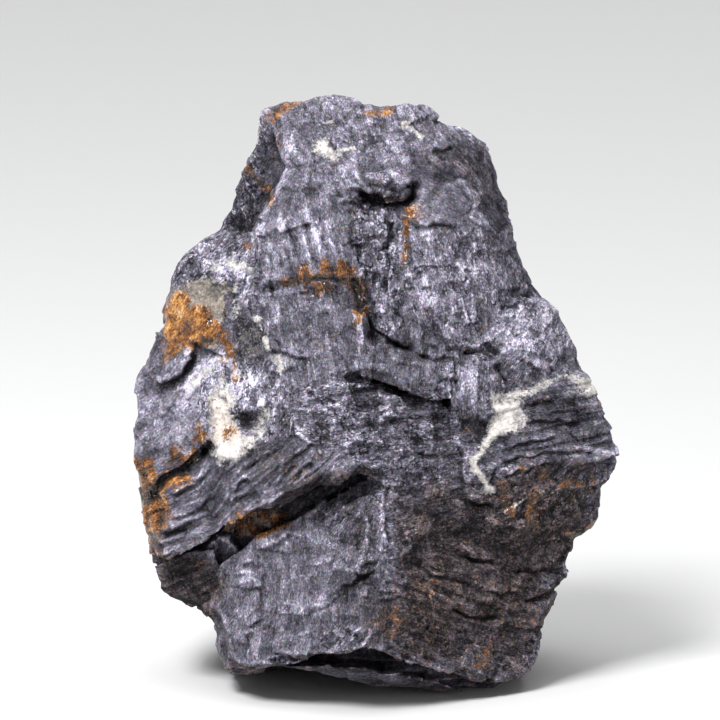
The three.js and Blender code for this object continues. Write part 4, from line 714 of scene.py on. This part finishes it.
def flow_in(face, region, back):
    """Coordinates across, along and into the grain of the rock, each region with its own."""
    table = np.array(REGIONS, float)[region]
    angle = np.radians(table[:, 4] + 6 * noise(face, 7.0, 13))
    sin, cos = np.sin(angle), np.cos(angle)
    du, dv = face[:, 0] - table[:, 0], face[:, 1] - table[:, 1]
    flow = np.stack([du * cos - dv * sin, du * sin + dv * cos, face[:, 2]], axis=1) + 31.0 * region[:, None]
    turn = np.array(
        Matrix.Rotation(math.radians(CLEAVAGE_TURN[1]), 3, "Y")
        @ Matrix.Rotation(math.radians(CLEAVAGE_TURN[0]), 3, "X")
        @ Matrix.Rotation(math.radians(CLEAVAGE_TURN[2]), 3, "Z")
    )
    flow[back] = face[back] @ turn
    return flow


def wandered(face):
    """Places u, v moved about a little, so that drawn lines come out ragged."""
    flat = face * (1, 1, 0)
    return face[:, :2] + RAGGED * np.stack([noise(flat, 1.1, 91, 2), noise(flat, 1.1, 92, 2)], axis=1)


def near_line(uv, line, reach):
    """Which points are within reach of the box around a line."""
    pts = np.array(line)
    return np.flatnonzero(np.all((uv > pts.min(0) - reach) & (uv < pts.max(0) + reach), axis=1))


def painted_step_shade(face):
    """Painted light and shade of the drawn steps: how much lighter their crests are, a painted highlight, and
    how much darker their feet, a painted shadow.
    """
    shifted = wandered(face)
    shade = np.zeros(len(face))
    for _, _, line in STEPS:
        close = near_line(shifted, line, 1.5)
        close = close[face[close, 2] > FRONT_EDGE]
        distance, along = step_distance(shifted[close], line)
        fade = smoothstep(0, 0.2, along) * smoothstep(1, 0.8, along)
        foot = np.exp(-(((distance + 0.28) / 0.26) ** 2))
        crest = np.exp(-(((distance - 0.25) / 0.22) ** 2))
        shade[close] += fade * (STEP_PAINTED_HIGHLIGHT * crest - STEP_PAINTED_SHADOW * foot)
    return shade


def relief(face):
    """How far each point of the rock is moved out, in mm."""
    region, lines, grain, back = regions_of(face)
    flow = flow_in(face, region, back)
    height = lines * (sum(rise * layers(flow, spacing, seed) for rise, spacing, seed in LAYERS) - LAYERS_SUNK)
    large, large_end = bricks(flow, LARGE_BRICKS, 51)
    small, small_end = bricks(flow, SMALL_BRICKS, 61)
    height = height + BRICK_RISE * large**3 + BRICK_END * large_end
    clustered = CLUSTERED * smoothstep(-0.15, 0.45, noise(face, 3.2, 71, 2))
    height = height + (grain + 0.01) * clustered * (small**3 + small_end)
    height = height + SWELL * noise(face, 5.5, 82, 2) + ROUGH * grain * noise(face, 1.3, 81, 3)
    height = height + FINE * noise(face, 0.8, 83, 2)

    front = smoothstep(FRONT_EDGE - 3, FRONT_EDGE, face[:, 2])
    shifted = wandered(face)

    def near(line, reach):
        close = near_line(shifted, line, reach)
        return close[front[close] > 0]

    for width, depth, line in GROOVES:
        close = near(line, 2)
        distance = line_distance(shifted[close], line)
        cut = np.exp(-((distance / width) ** 2)) * np.clip(0.75 + 1.1 * noise(face[close], 2.2, 93), 0, 1.3)
        height[close] -= depth * cut * front[close]
    for raise_by, slope, outline in PLATES:
        close = near(outline, 2)
        inside = smoothstep(-slope, slope, inside_distance(shifted[close], outline))
        height[close] += raise_by * inside * front[close]
    for raise_by, reach, line in STEPS:
        close = near(line, 3 * reach)
        distance, along = step_distance(shifted[close], line)
        fade = smoothstep(0, 0.25, along) * smoothstep(1, 0.75, along)
        raised = smoothstep(-0.12, 0.12, distance) * np.exp(-np.abs(distance) / reach)
        foot = np.exp(-(((distance + 0.3) / 0.3) ** 2))
        height[close] += raise_by * fade * (raised - 0.4 * foot) * front[close]
    return height


def melt(points, edges, face):
    """Evens out the borders in MELTED, on the front only."""
    share = np.zeros(len(points))
    for u, v, ru, rv, amount in MELTED:
        far = ((face[:, 0] - u) / ru) ** 2 + ((face[:, 1] - v) / rv) ** 2
        share = np.maximum(share, amount * np.exp(-(far**2)) * (face[:, 2] > -8))
    inside = share > 0.02
    kept = edges[inside[edges].any(axis=1)]
    used, local = np.unique(kept.ravel(), return_inverse=True)
    local = local.reshape(-1, 2)
    some, part = points[used], share[used][:, None]
    for _ in range(MELTING):
        some = some + part * (evened(some, local, 1) - some)
    points[used] = some
    return points


def fill_pits(points, face):
    """Raises the floors of the pits in PITS, along w."""
    out_of_face = np.array((0, -math.cos(LEAN), math.sin(LEAN)))
    for u, v, ru, rv, level, slope, left in PITS:
        far = ((face[:, 0] - u) / ru) ** 2 + ((face[:, 1] - v) / rv) ** 2
        sunk = level + slope * (face[:, 0] - u) - face[:, 2]
        inside = (far < 1.5) & (sunk > 0) & (sunk < 8)
        raised = (sunk - left * (1 - np.exp(-sunk / left))) * smoothstep(1.5, 0.9, far) * inside
        points = points + raised[:, None] * out_of_face
    return points


def rock_mesh():
    """The rock with its fine relief, as a mesh in metres, and its points in the face frame."""
    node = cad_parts["galena"]
    node.data.calc_loop_triangles()
    faces = [tuple(t.vertices) for t in node.data.loop_triangles]
    raw = link("raw", new_mesh("raw", points_of(node.data) / MM, faces))
    mesh = modified(raw, "REMESH", mode="VOXEL", voxel_size=VOXEL, adaptivity=0.0)
    edges = edges_of(mesh)
    points = points_of(mesh)
    off_floor = smoothstep(*OFF_FLOOR, points[:, 2])[:, None]
    for _ in range(FILLING):
        normals = normals_of(mesh)
        hollow = np.maximum(np.sum((evened(points, edges, 1) - points) * normals, axis=1), 0)
        points = points + normals * np.minimum(2 * hollow, MOST_FILLED)[:, None] * off_floor
        move_points(mesh, points)
    points = melt(fill_pits(points, to_face(points)), edges, to_face(points))
    wander = sum(
        reach * np.stack([noise(points, size, seed + axis, 2) for axis in range(3)], axis=1)
        for reach, size, seed in WANDER
    )
    points = points + wander * off_floor
    move_points(mesh, points)
    normals = evened(normals_of(mesh), edges, 1)
    normals /= np.maximum(np.linalg.norm(normals, axis=1), 1e-9)[:, None]
    points = points + normals * relief(to_face(points))[:, None] * off_floor
    points[:, 2] = np.maximum(points[:, 2], 0)
    move_points(mesh, points)
    triangles = 2 * len(mesh.polygons)
    mesh = modified(raw, "DECIMATE", ratio=min(1.0, TRIANGLES / triangles), use_collapse_triangulate=True)
    points = points_of(mesh)
    polygons = [tuple(p.vertices) for p in mesh.polygons]
    bpy.data.objects.remove(raw)
    return new_mesh("galena_rock", points * MM, polygons), points


def put(mesh, name, kind, values, domain="POINT"):
    attribute = mesh.attributes.new(name, kind, domain)
    key = "vector" if kind == "FLOAT_VECTOR" else "value"
    attribute.data.foreach_set(key, values.astype(np.float32).ravel())


def painted_shade_from_shape(mesh, points, edges):
    """How far each point lies in a hollow, -1 to 1, and how much the rock around it faces down, 0 to 1. The
    material paints shade with both: darker in hollows and lighter on crests, and darker where the rock faces
    down.
    """
    normals = normals_of(mesh)
    near = evened(points, edges, 5)
    wide = evened(points, edges, 26)
    hollow = 1.3 * np.sum((near - points) * normals, axis=1) + 0.9 * np.sum((wide - points) * normals, axis=1)
    even = evened(normals, edges, 6)
    return np.clip(hollow, -1, 1), smoothstep(0.05, -0.6, even[:, 2])


def tone_and_shade_of(face):
    """How much lighter or darker each point is by the table of lighter and darker places: partly the rock's
    own colour, partly painted shade.
    """
    tone = np.zeros(len(face))
    for u, v, ru, rv, turn, amount in TONES_AND_SHADE:
        sin, cos = math.sin(math.radians(turn)), math.cos(math.radians(turn))
        du, dv = face[:, 0] - u, face[:, 1] - v
        far = ((du * cos - dv * sin) / ru) ** 2 + ((du * sin + dv * cos) / rv) ** 2
        tone += amount * np.exp(-(far**2) * 0.7)
    return tone * smoothstep(FRONT_EDGE - 5, FRONT_EDGE + 1, face[:, 2])


def describe(mesh, points):
    """Writes what the material needs to know about each point."""
    face = to_face(points)
    _, lines, grain, back = regions_of(face)
    put(mesh, "face", "FLOAT_VECTOR", face)
    corners = np.array([tuple(p.vertices) for p in mesh.polygons])
    region, _, _, behind = regions_of(face[corners].mean(axis=1))
    flow = flow_in(face[corners.ravel()], np.repeat(region, 3), np.repeat(behind, 3))
    put(mesh, "flow", "FLOAT_VECTOR", flow, "CORNER")
    put(mesh, "lines", "FLOAT", np.clip(lines / 0.15, 0.2, 1.6))
    put(mesh, "grain", "FLOAT", np.clip(grain / 0.10, 0.3, 1.4))

    # Painted shade from the shape: the material darkens hollows, lightens crests and darkens surfaces that
    # face down.
    hollow, under = painted_shade_from_shape(mesh, points, edges_of(mesh))
    put(mesh, "hollow", "FLOAT", hollow)
    put(mesh, "under", "FLOAT", under)
    # Regional lightness: partly the rock's own colour, partly painted shade on faces turned from the light.
    put(mesh, "tone", "FLOAT", tone_and_shade_of(face))
    # Painted highlights and paler places, less painted shadow and darker places, plus the painted light and
    # shade of the drawn steps.
    shade = place_mask(face, PALE_AND_PAINTED_HIGHLIGHT, 0.5, 0.7) - place_mask(face, DARK_AND_PAINTED_SHADOW, 0.4, 0.6) + painted_step_shade(face)
    put(mesh, "shade", "FLOAT", shade)
    put(mesh, "crust", "FLOAT", place_mask(face, CRUST, 0.8, 0.9))

    # at the back, veins along the thin middle of a noise, and patches of rust
    veined = smoothstep(0.92, 0.99, 1 - np.abs(noise(face, 13.0, 101, 4)))
    veined *= smoothstep(0.0, 0.3, noise(face, 15.0, 105, 2))
    rusty = smoothstep(0.0, 0.5, noise(face, 10.0, 111, 4))
    quartz = place_mask(face, QUARTZ, 1.1, 0.8)
    rust = place_mask(face, RUST, 0.9, 0.9)
    put(mesh, "quartz", "FLOAT", np.where(back, np.maximum(quartz, BACK_VEINS * veined), quartz))
    put(mesh, "rust", "FLOAT", np.where(back, np.maximum(rust, BACK_RUST * rusty), rust))


# ------------------------------------------------------------------------------------------ materials


class Nodes:
    """A short way of writing a material's nodes."""

    def __init__(self, name):
        self.material = bpy.data.materials.new(name)
        self.material.use_nodes = True
        self.tree = self.material.node_tree
        self.shader = self.tree.nodes["Principled BSDF"]

    def add(self, kind, inputs=(), **settings):
        node = self.tree.nodes.new(kind)
        for key, value in settings.items():
            setattr(node, key, value)
        for key, value in dict(inputs).items():
            self.set(node.inputs[key], value)
        return node

    def set(self, socket, value):
        if isinstance(value, bpy.types.NodeSocket):
            self.tree.links.new(value, socket)
        elif value is not None:
            socket.default_value = value

    def math(self, operation, a, b=None, c=None, clamp=False):
        node = self.add("ShaderNodeMath", operation=operation, use_clamp=clamp)
        for socket, value in zip(node.inputs, (a, b, c)):
            self.set(socket, value)
        return node.outputs[0]

    def value_of(self, attribute):
        return self.add("ShaderNodeAttribute", attribute_name=attribute).outputs["Fac"]

    def vector_of(self, attribute):
        return self.add("ShaderNodeAttribute", attribute_name=attribute).outputs["Vector"]

    def scaled(self, vector, *scale):
        return self.vector("MULTIPLY", vector, scale)

    def noise(self, vector, scale, detail, roughness=0.55):
        """Noise from about -1 to 1."""
        inputs = {"Vector": vector, "Scale": scale, "Detail": detail, "Roughness": roughness}
        node = self.add("ShaderNodeTexNoise", inputs)
        return self.math("MULTIPLY_ADD", node.outputs["Fac"], 4.0, -2.0)

    def sum(self, *terms):
        """The sum of (factor, value) terms. A term with no value is a plain number."""
        total = sum(factor for factor, value in terms if value is None)
        for factor, value in terms:
            if value is not None:
                total = self.math("MULTIPLY_ADD", value, factor, total)
        return total

    def cells(self, vector, scale, distance="EUCLIDEAN"):
        """Three random numbers for each cell, the first from -0.5 to 0.5 and the others from 0 to 1."""
        node = self.add("ShaderNodeTexVoronoi", {"Vector": vector, "Scale": scale}, distance=distance)
        split = self.add("ShaderNodeSeparateColor", {"Color": node.outputs["Color"]})
        return self.math("SUBTRACT", split.outputs[0], 0.5), split.outputs[1], split.outputs[2]

    def cracks(self, vector, low, high):
        """Thin straight lines between cells, 1 in the middle of a line."""
        inputs = {"Vector": vector, "Scale": 1.0}
        nearest, next_nearest = (
            self.add("ShaderNodeTexVoronoi", inputs, distance="CHEBYCHEV", feature=feature)
            for feature in ("F1", "F2")
        )
        gap = self.math("SUBTRACT", next_nearest.outputs["Distance"], nearest.outputs["Distance"])
        return self.step(gap, high, low)

    def facets(self, vector, scale):
        """A height that gives each cell its own random tilt."""
        node = self.add("ShaderNodeTexVoronoi", {"Vector": vector, "Scale": scale})
        tilt = self.vector("SUBTRACT", node.outputs["Color"], (0.5,) * 3)
        middle = self.scaled(node.outputs["Position"], scale, scale, scale)
        away = self.vector("SUBTRACT", self.scaled(vector, scale, scale, scale), middle)
        return self.vector("DOT_PRODUCT", tilt, away, "Value")

    def layers(self, flow, spacing):
        """Thin layers that overlap like shingles: the height of each, which rises across the grain, and a
        mask of the edge where it breaks off."""
        wide = self.scaled(flow, 0.4 / spacing, 0.1 / spacing, 0.1 / spacing)
        split = self.add("ShaderNodeSeparateXYZ", {"Vector": flow})
        place = self.math("MULTIPLY_ADD", split.outputs[0], 1 / spacing, self.noise(wide, 1.0, 2.0))
        layer = self.math("FLOOR", place)
        rise = self.math("FRACT", place)
        own = self.add("ShaderNodeTexWhiteNoise", {"W": layer}, noise_dimensions="1D").outputs["Value"]
        along = self.add(
            "ShaderNodeCombineXYZ",
            {
                "X": self.math("MULTIPLY", layer, 3.7),
                "Y": self.math("MULTIPLY", split.outputs[1], 0.25 / spacing),
                "Z": self.math("MULTIPLY", split.outputs[2], 0.16 / spacing),
            },
        )
        strength = self.math("MULTIPLY", own, self.step(self.noise(along.outputs[0], 1.0, 2.0), -0.5, 0.5))
        edge = self.step(rise, 0.7, 0.95)
        return self.math("MULTIPLY", rise, strength), self.math("MULTIPLY", edge, strength)

    def vector(self, operation, a, b, output="Vector"):
        node = self.add("ShaderNodeVectorMath", operation=operation)
        self.set(node.inputs[0], a)
        self.set(node.inputs[1], b)
        return node.outputs[output]

    def step(self, value, low, high):
        """0 below `low` and 1 above `high`."""
        inputs = {"Value": value, "From Min": low, "From Max": high}
        return self.add("ShaderNodeMapRange", inputs, interpolation_type="SMOOTHSTEP").outputs[0]

    def ramp(self, value, stops):
        node = self.add("ShaderNodeValToRGB", {"Fac": value})
        ramp = node.color_ramp
        for i, (place, colour) in enumerate(stops):
            stop = ramp.elements[i] if i < 2 else ramp.elements.new(place)
            stop.position = place
            stop.color = (*colour, 1)
        return node.outputs["Color"]

    def mix(self, share, a, b, how="MIX"):
        node = self.add("ShaderNodeMix", data_type="RGBA", blend_type=how)
        self.set(node.inputs[0], share)
        for socket, value in ((node.inputs[6], a), (node.inputs[7], b)):
            self.set(socket, (*value, 1) if isinstance(value, tuple) else value)
        return node.outputs[2]

    def blend(self, share, a, b):
        node = self.add("ShaderNodeMix", data_type="FLOAT")
        for socket, value in zip(node.inputs, (share, a, b)):
            self.set(socket, value)
        return node.outputs[0]


def patterns(n):
    """The patterns that the layers of the material share."""
    p = SimpleNamespace()
    for name in ("hollow", "under", "lines", "grain", "tone", "crust", "rust", "quartz"):
        setattr(p, name, n.value_of(name))
    p.face = n.vector_of("face")
    p.flow = n.vector_of("flow")
    p.coarse, p.coarse_edge = n.layers(p.flow, 0.62)
    p.fine, p.fine_edge = n.layers(p.flow, 0.27)
    p.speckle = n.noise(p.face, 3.2, 2.0, 0.75)
    p.dust = n.noise(n.scaled(p.flow, 6.5, 2.4, 2.4), 1.0, 1.0, 0.8)
    p.blotches = n.noise(p.face, 0.35, 4.0, 0.6)
    p.grain_shade, p.grain_kind, p.grain_gloss = n.cells(p.face, 3.6)
    p.plate_shade, _, p.plate_gloss = n.cells(n.scaled(p.flow, 0.9, 0.3, 0.3), 1.0, "CHEBYCHEV")
    p.chip_shade, _, _ = n.cells(n.scaled(p.flow, 2.3, 1.1, 1.1), 1.0, "CHEBYCHEV")
    p.pits = n.step(n.noise(n.scaled(p.flow, 1.7, 0.9, 0.9), 1.0, 3.0, 0.8), 0.60, 0.78)
    # the paler and darker places with their painted highlights and painted shadow, made uneven
    uneven = n.sum((1.0, None), (0.5, n.noise(p.face, 2.0, 2.0, 0.8)))
    p.shade = n.math("MULTIPLY", n.value_of("shade"), uneven)
    return p


def lead_grey(n, p):
    """Bare galena, from crevice to crest, and browner where it is dark. Its lightness holds painted shade in
    hollows, small pits, cracks, layer breaks and on surfaces that face down, and painted highlights on
    crests, rising layers and bright specks.
    """
    # painted highlights: bright specks that stand in for light glinting off small cleavage faces
    painted_crystal_glints = n.math("MULTIPLY", n.step(p.grain_kind, 0.93, 0.96), p.grain)
    painted_glints = n.step(n.noise(n.scaled(p.flow, 2.4, 1.3, 1.3), 1.0, 2.0, 0.8), 0.70, 0.90)
    cracked = n.step(n.noise(p.face, 0.55, 2.0, 0.7), 0.0, 0.35)
    cracks = n.math("MULTIPLY", n.cracks(n.scaled(p.flow, 1.3, 0.6, 0.6), 0.05, 0.10), cracked)
    chipped = n.math("MULTIPLY", n.cracks(n.scaled(p.flow, 0.5, 1.0, 0.7), 0.03, 0.07), cracked)
    tint = n.add("ShaderNodeTexNoise", {"Vector": p.face, "Scale": 3.6, "Detail": 1.0}).outputs["Color"]
    light = n.sum(
        (0.535, None),
        # regional lightness, partly painted shade
        (0.30, p.tone),
        # painted shadow and highlights, with the darker and paler places
        (0.30, p.shade),
        (0.08, p.blotches),
        # painted light and shade of the layers: lighter as each rises, darker at the edge where it breaks off
        (0.16, n.math("MULTIPLY", p.coarse, p.lines)),
        (-0.16, n.math("MULTIPLY", p.coarse_edge, p.lines)),
        (0.12, n.math("MULTIPLY", p.fine, p.lines)),
        (-0.14, n.math("MULTIPLY", p.fine_edge, p.lines)),
        (0.07, p.speckle),
        (0.17, p.dust),
        (0.22, n.math("MULTIPLY", p.grain_shade, p.grain)),
        (0.26, n.math("MULTIPLY", p.chip_shade, p.grain)),
        (0.15, p.plate_shade),
        # painted shade of hairline cracks and chips, drawn as dark lines in the colour only
        (-0.26, n.math("MULTIPLY", cracks, p.grain)),
        (-0.22, n.math("MULTIPLY", chipped, p.grain)),
        # painted highlights: bright specks standing in for light glinting off small faces
        (0.16, painted_crystal_glints),
        (0.18, n.math("MULTIPLY", painted_glints, p.grain)),
        # painted shade in the small pits of the bump
        (-0.34, n.math("MULTIPLY", p.pits, p.grain)),
        # painted shade in hollows and painted highlight on crests
        (-0.36, p.hollow),
        # painted shade on surfaces that face down
        (-0.22, p.under),
    )
    grey = n.ramp(
        light,
        [
            (0.0, (0.005, 0.005, 0.007)),
            (1.0, (0.80, 0.76, 0.86)),
            (0.22, (0.024, 0.022, 0.030)),
            (0.45, (0.082, 0.078, 0.100)),
            (0.65, (0.188, 0.178, 0.225)),
            (0.84, (0.41, 0.388, 0.485)),
        ],
    )
    grey = n.mix(0.6, grey, tint, "SOFT_LIGHT")
    # browner where the rock is darker, in blotches, and where it faces down
    brown_on_dark_and_underside = n.step(n.sum((-1.0, p.tone), (0.6, p.under), (0.35, p.blotches)), 0.15, 0.9)
    grey = n.mix(n.math("MULTIPLY", brown_on_dark_and_underside, 0.6), grey, n.mix(1.0, grey, (1.30, 1.0, 0.74), "MULTIPLY"))
    sandy = n.math("MULTIPLY", n.step(p.grain_gloss, 0.955, 0.98), n.step(p.blotches, -0.5, 0.6))
    return n.mix(n.math("MULTIPLY", sandy, 0.55), grey, (0.36, 0.22, 0.12))


def thin_crust(n, p):
    """Where the tan and grey crust is, 0 to 1, and its colour."""
    place = n.sum((1.0, p.crust), (0.34, n.noise(p.face, 1.6, 3.0, 0.75)), (0.25, p.speckle))
    light = n.sum(
        (0.50, None),
        # painted shadow and highlights, with the darker and paler places
        (0.28, p.shade),
        (0.26, n.noise(p.face, 0.45, 4.0, 0.75)),
        (0.20, p.speckle),
        (0.12, p.dust),
        (0.2, p.grain_shade),
        # painted shade in hollows, lighter on crests
        (-0.3, p.hollow),
    )
    colour = n.ramp(
        light,
        [
            (0.0, (0.026, 0.025, 0.025)),
            (1.0, (0.62, 0.54, 0.46)),
            (0.4, (0.130, 0.117, 0.106)),
            (0.7, (0.31, 0.265, 0.222)),
        ],
    )
    return n.step(place, 0.36, 0.70), colour


def limonite(n, p):
    """Where the rust is, 0 to 1, and its colour: brown where thick, ochre and tan where thin."""
    place = n.sum(
        (1.0, p.rust),
        (0.36, n.noise(p.face, 0.9, 3.0, 0.75)),
        (0.30, p.speckle),
        (-0.20, p.hollow),
    )
    specks = n.step(n.noise(p.face, 2.6, 1.0, 0.8), 1.0, 1.2)
    light = n.sum(
        (0.33, None),
        (0.26, n.noise(p.face, 0.40, 4.0, 0.75)),
        (0.30, n.noise(n.scaled(p.flow, 1.8, 0.7, 0.7), 1.0, 3.0, 0.75)),
        (0.24, p.dust),
        (0.16, p.grain_shade),
        # painted shade in hollows and on surfaces that face down, lighter on crests
        (-0.45, p.hollow),
        (-0.30, p.under),
        # regional lightness, partly painted shade, and the painted shadow and highlights of the darker and
        # paler places
        (0.08, p.tone),
        (0.30, p.shade),
    )
    colour = n.ramp(
        light,
        [
            (0.0, (0.012, 0.009, 0.007)),
            (1.0, (0.64, 0.46, 0.27)),
            (0.22, (0.052, 0.024, 0.012)),
            (0.42, (0.17, 0.062, 0.017)),
            (0.60, (0.34, 0.135, 0.032)),
            (0.80, (0.54, 0.28, 0.085)),
        ],
    )
    return n.math("MAXIMUM", n.step(place, 0.34, 0.74), n.math("MULTIPLY", specks, 0.7)), colour


def vein_quartz(n, p):
    """Where quartz and calcite are, 0 to 1, and their colour: white inside, grey at the edge and warm near
    rust."""
    place = n.sum((1.0, p.quartz), (0.42, n.noise(p.face, 0.9, 3.0, 0.8)), (0.14, p.speckle))
    light = n.sum(
        (-0.02, None),
        (0.68, p.quartz),
        (0.42, n.noise(p.face, 0.8, 4.0, 0.8)),
        (0.14, p.dust),
        (0.26, p.grain_shade),
        # painted shade in hollows, lighter on crests
        (-0.35, p.hollow),
    )
    colour = n.ramp(
        light,
        [
            (0.0, (0.13, 0.125, 0.14)),
            (1.0, (0.90, 0.87, 0.85)),
            (0.28, (0.30, 0.29, 0.30)),
            (0.60, (0.62, 0.575, 0.54)),
        ],
    )
    warm = n.step(p.rust, 0.05, 1.0)
    return n.step(place, 0.36, 0.72), n.mix(n.math("MULTIPLY", warm, 0.8), colour, (0.62, 0.34, 0.15))


def broken_surface(n, p):
    """Broken cleavage: grains are small tilted facets, among layers that break off one over another."""
    height = n.sum(
        (0.14, n.math("MULTIPLY", n.facets(p.face, 3.6), p.grain)),
        (0.10, n.facets(n.scaled(p.flow, 1.0, 0.4, 0.4), 1.2)),
        (0.12, n.math("MULTIPLY", p.chip_shade, p.grain)),
        (-0.12, n.math("MULTIPLY", p.pits, p.grain)),
        (0.16, n.math("MULTIPLY", p.coarse, p.lines)),
        (0.08, n.math("MULTIPLY", p.fine, p.lines)),
        (0.012, p.speckle),
    )
    return n.add("ShaderNodeBump", {"Height": height, "Distance": MM, "Strength": 1.0}).outputs[0]


def galena_material():
    """Bare galena, beneath a crust, quartz and rust, each with its own place."""
    n = Nodes("galena")
    p = patterns(n)
    colour = lead_grey(n, p)
    crust, crust_colour = thin_crust(n, p)
    quartz, quartz_colour = vein_quartz(n, p)
    rust, rust_colour = limonite(n, p)
    for share, over in ((crust, crust_colour), (quartz, quartz_colour), (rust, rust_colour)):
        colour = n.mix(share, colour, over)
    n.set(n.shader.inputs["Base Color"], colour)

    bare = n.math("SUBTRACT", 1.0, n.math("MAXIMUM", n.math("MAXIMUM", rust, quartz), crust))
    n.set(n.shader.inputs["Metallic"], n.math("MULTIPLY", bare, 0.6))
    rough = n.sum((0.40, None), (0.22, p.grain_gloss), (0.16, p.plate_gloss))
    for share, own in ((crust, 0.7), (quartz, 0.45), (rust, 0.85)):
        rough = n.blend(share, rough, own)
    n.set(n.shader.inputs["Roughness"], rough)
    n.set(n.shader.inputs["Normal"], broken_surface(n, p))
    return n.material


def floor_material():
    n = Nodes("studio_floor")
    n.set(n.shader.inputs["Base Color"], FLOOR_COLOUR)
    n.set(n.shader.inputs["Roughness"], FLOOR_ROUGHNESS)
    return n.material


# ------------------------------------------------------------------------------------------ the scene


def build_rock():
    mesh, points = rock_mesh()
    describe(mesh, points)
    mesh.polygons.foreach_set("use_smooth", np.ones(len(mesh.polygons), bool))
    mesh.materials.append(galena_material())
    rock = link("galena_rock", mesh)
    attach(rock, "root")
    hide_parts("galena")
    return rock


def build_floor():
    """A round floor that curves up into a low wall all round."""
    edge = FLOOR_FLAT + FLOOR_BEND
    profile = [(0.3, 0.0), (FLOOR_FLAT, 0.0)]
    for turn in np.linspace(0.15, math.pi / 2, 12):
        profile.append((FLOOR_FLAT + FLOOR_BEND * math.sin(turn), FLOOR_BEND - FLOOR_BEND * math.cos(turn)))
    profile.append((edge, 2 * FLOOR_BEND))
    points = [(0, 0, 0)]
    for radius, z in profile:
        for i in range(FLOOR_SIDES):
            angle = 2 * math.pi * i / FLOOR_SIDES
            points.append((radius * math.cos(angle), radius * math.sin(angle), z))
    faces = [(0, 1 + i, 1 + (i + 1) % FLOOR_SIDES) for i in range(FLOOR_SIDES)]
    for ring in range(len(profile) - 1):
        for i in range(FLOOR_SIDES):
            a = 1 + ring * FLOOR_SIDES + i
            b = 1 + ring * FLOOR_SIDES + (i + 1) % FLOOR_SIDES
            faces.append((a, a + FLOOR_SIDES, b + FLOOR_SIDES, b))
    mesh = new_mesh("studio_floor", points, faces)
    mesh.polygons.foreach_set("use_smooth", np.ones(len(mesh.polygons), bool))
    mesh.materials.append(floor_material())
    link("studio_floor", mesh)


def aim(piece, target):
    piece.rotation_euler = (Vector(target) - piece.location).to_track_quat("-Z", "Y").to_euler()


def add_light(name, place, target, size, power):
    light = bpy.data.lights.new(name, "AREA")
    light.shape = "RECTANGLE"
    light.size, light.size_y = size
    light.energy = power
    lamp = bpy.data.objects.new(name, light)
    bpy.context.scene.collection.objects.link(lamp)
    lamp.location = place
    aim(lamp, target)


def build_camera():
    """Square on to the front face. The picture is 96 mm wide at the rock, or 7.5 pixels to the millimetre."""
    camera = bpy.data.cameras.new("camera")
    camera.lens = LENS
    camera.sensor_width = SENSOR
    camera.clip_start = 0.01
    view = bpy.data.objects.new("camera", camera)
    bpy.context.scene.collection.objects.link(view)
    u, v, w = AIM
    view.location = from_face(u, v, w + CAMERA_AWAY)
    aim(view, from_face(u, v, w))
    bpy.context.scene.camera = view


def build_studio():
    for lamp in LAMPS:
        add_light(*lamp)
    world = bpy.data.worlds.new("studio")
    world.use_nodes = True
    world.node_tree.nodes["Background"].inputs["Color"].default_value = SKY
    world.node_tree.nodes["Background"].inputs["Strength"].default_value = SKY_STRENGTH
    bpy.context.scene.world = world
    bpy.context.scene.view_settings.view_transform = "Standard"


build_rock()
build_floor()
build_camera()
build_studio()
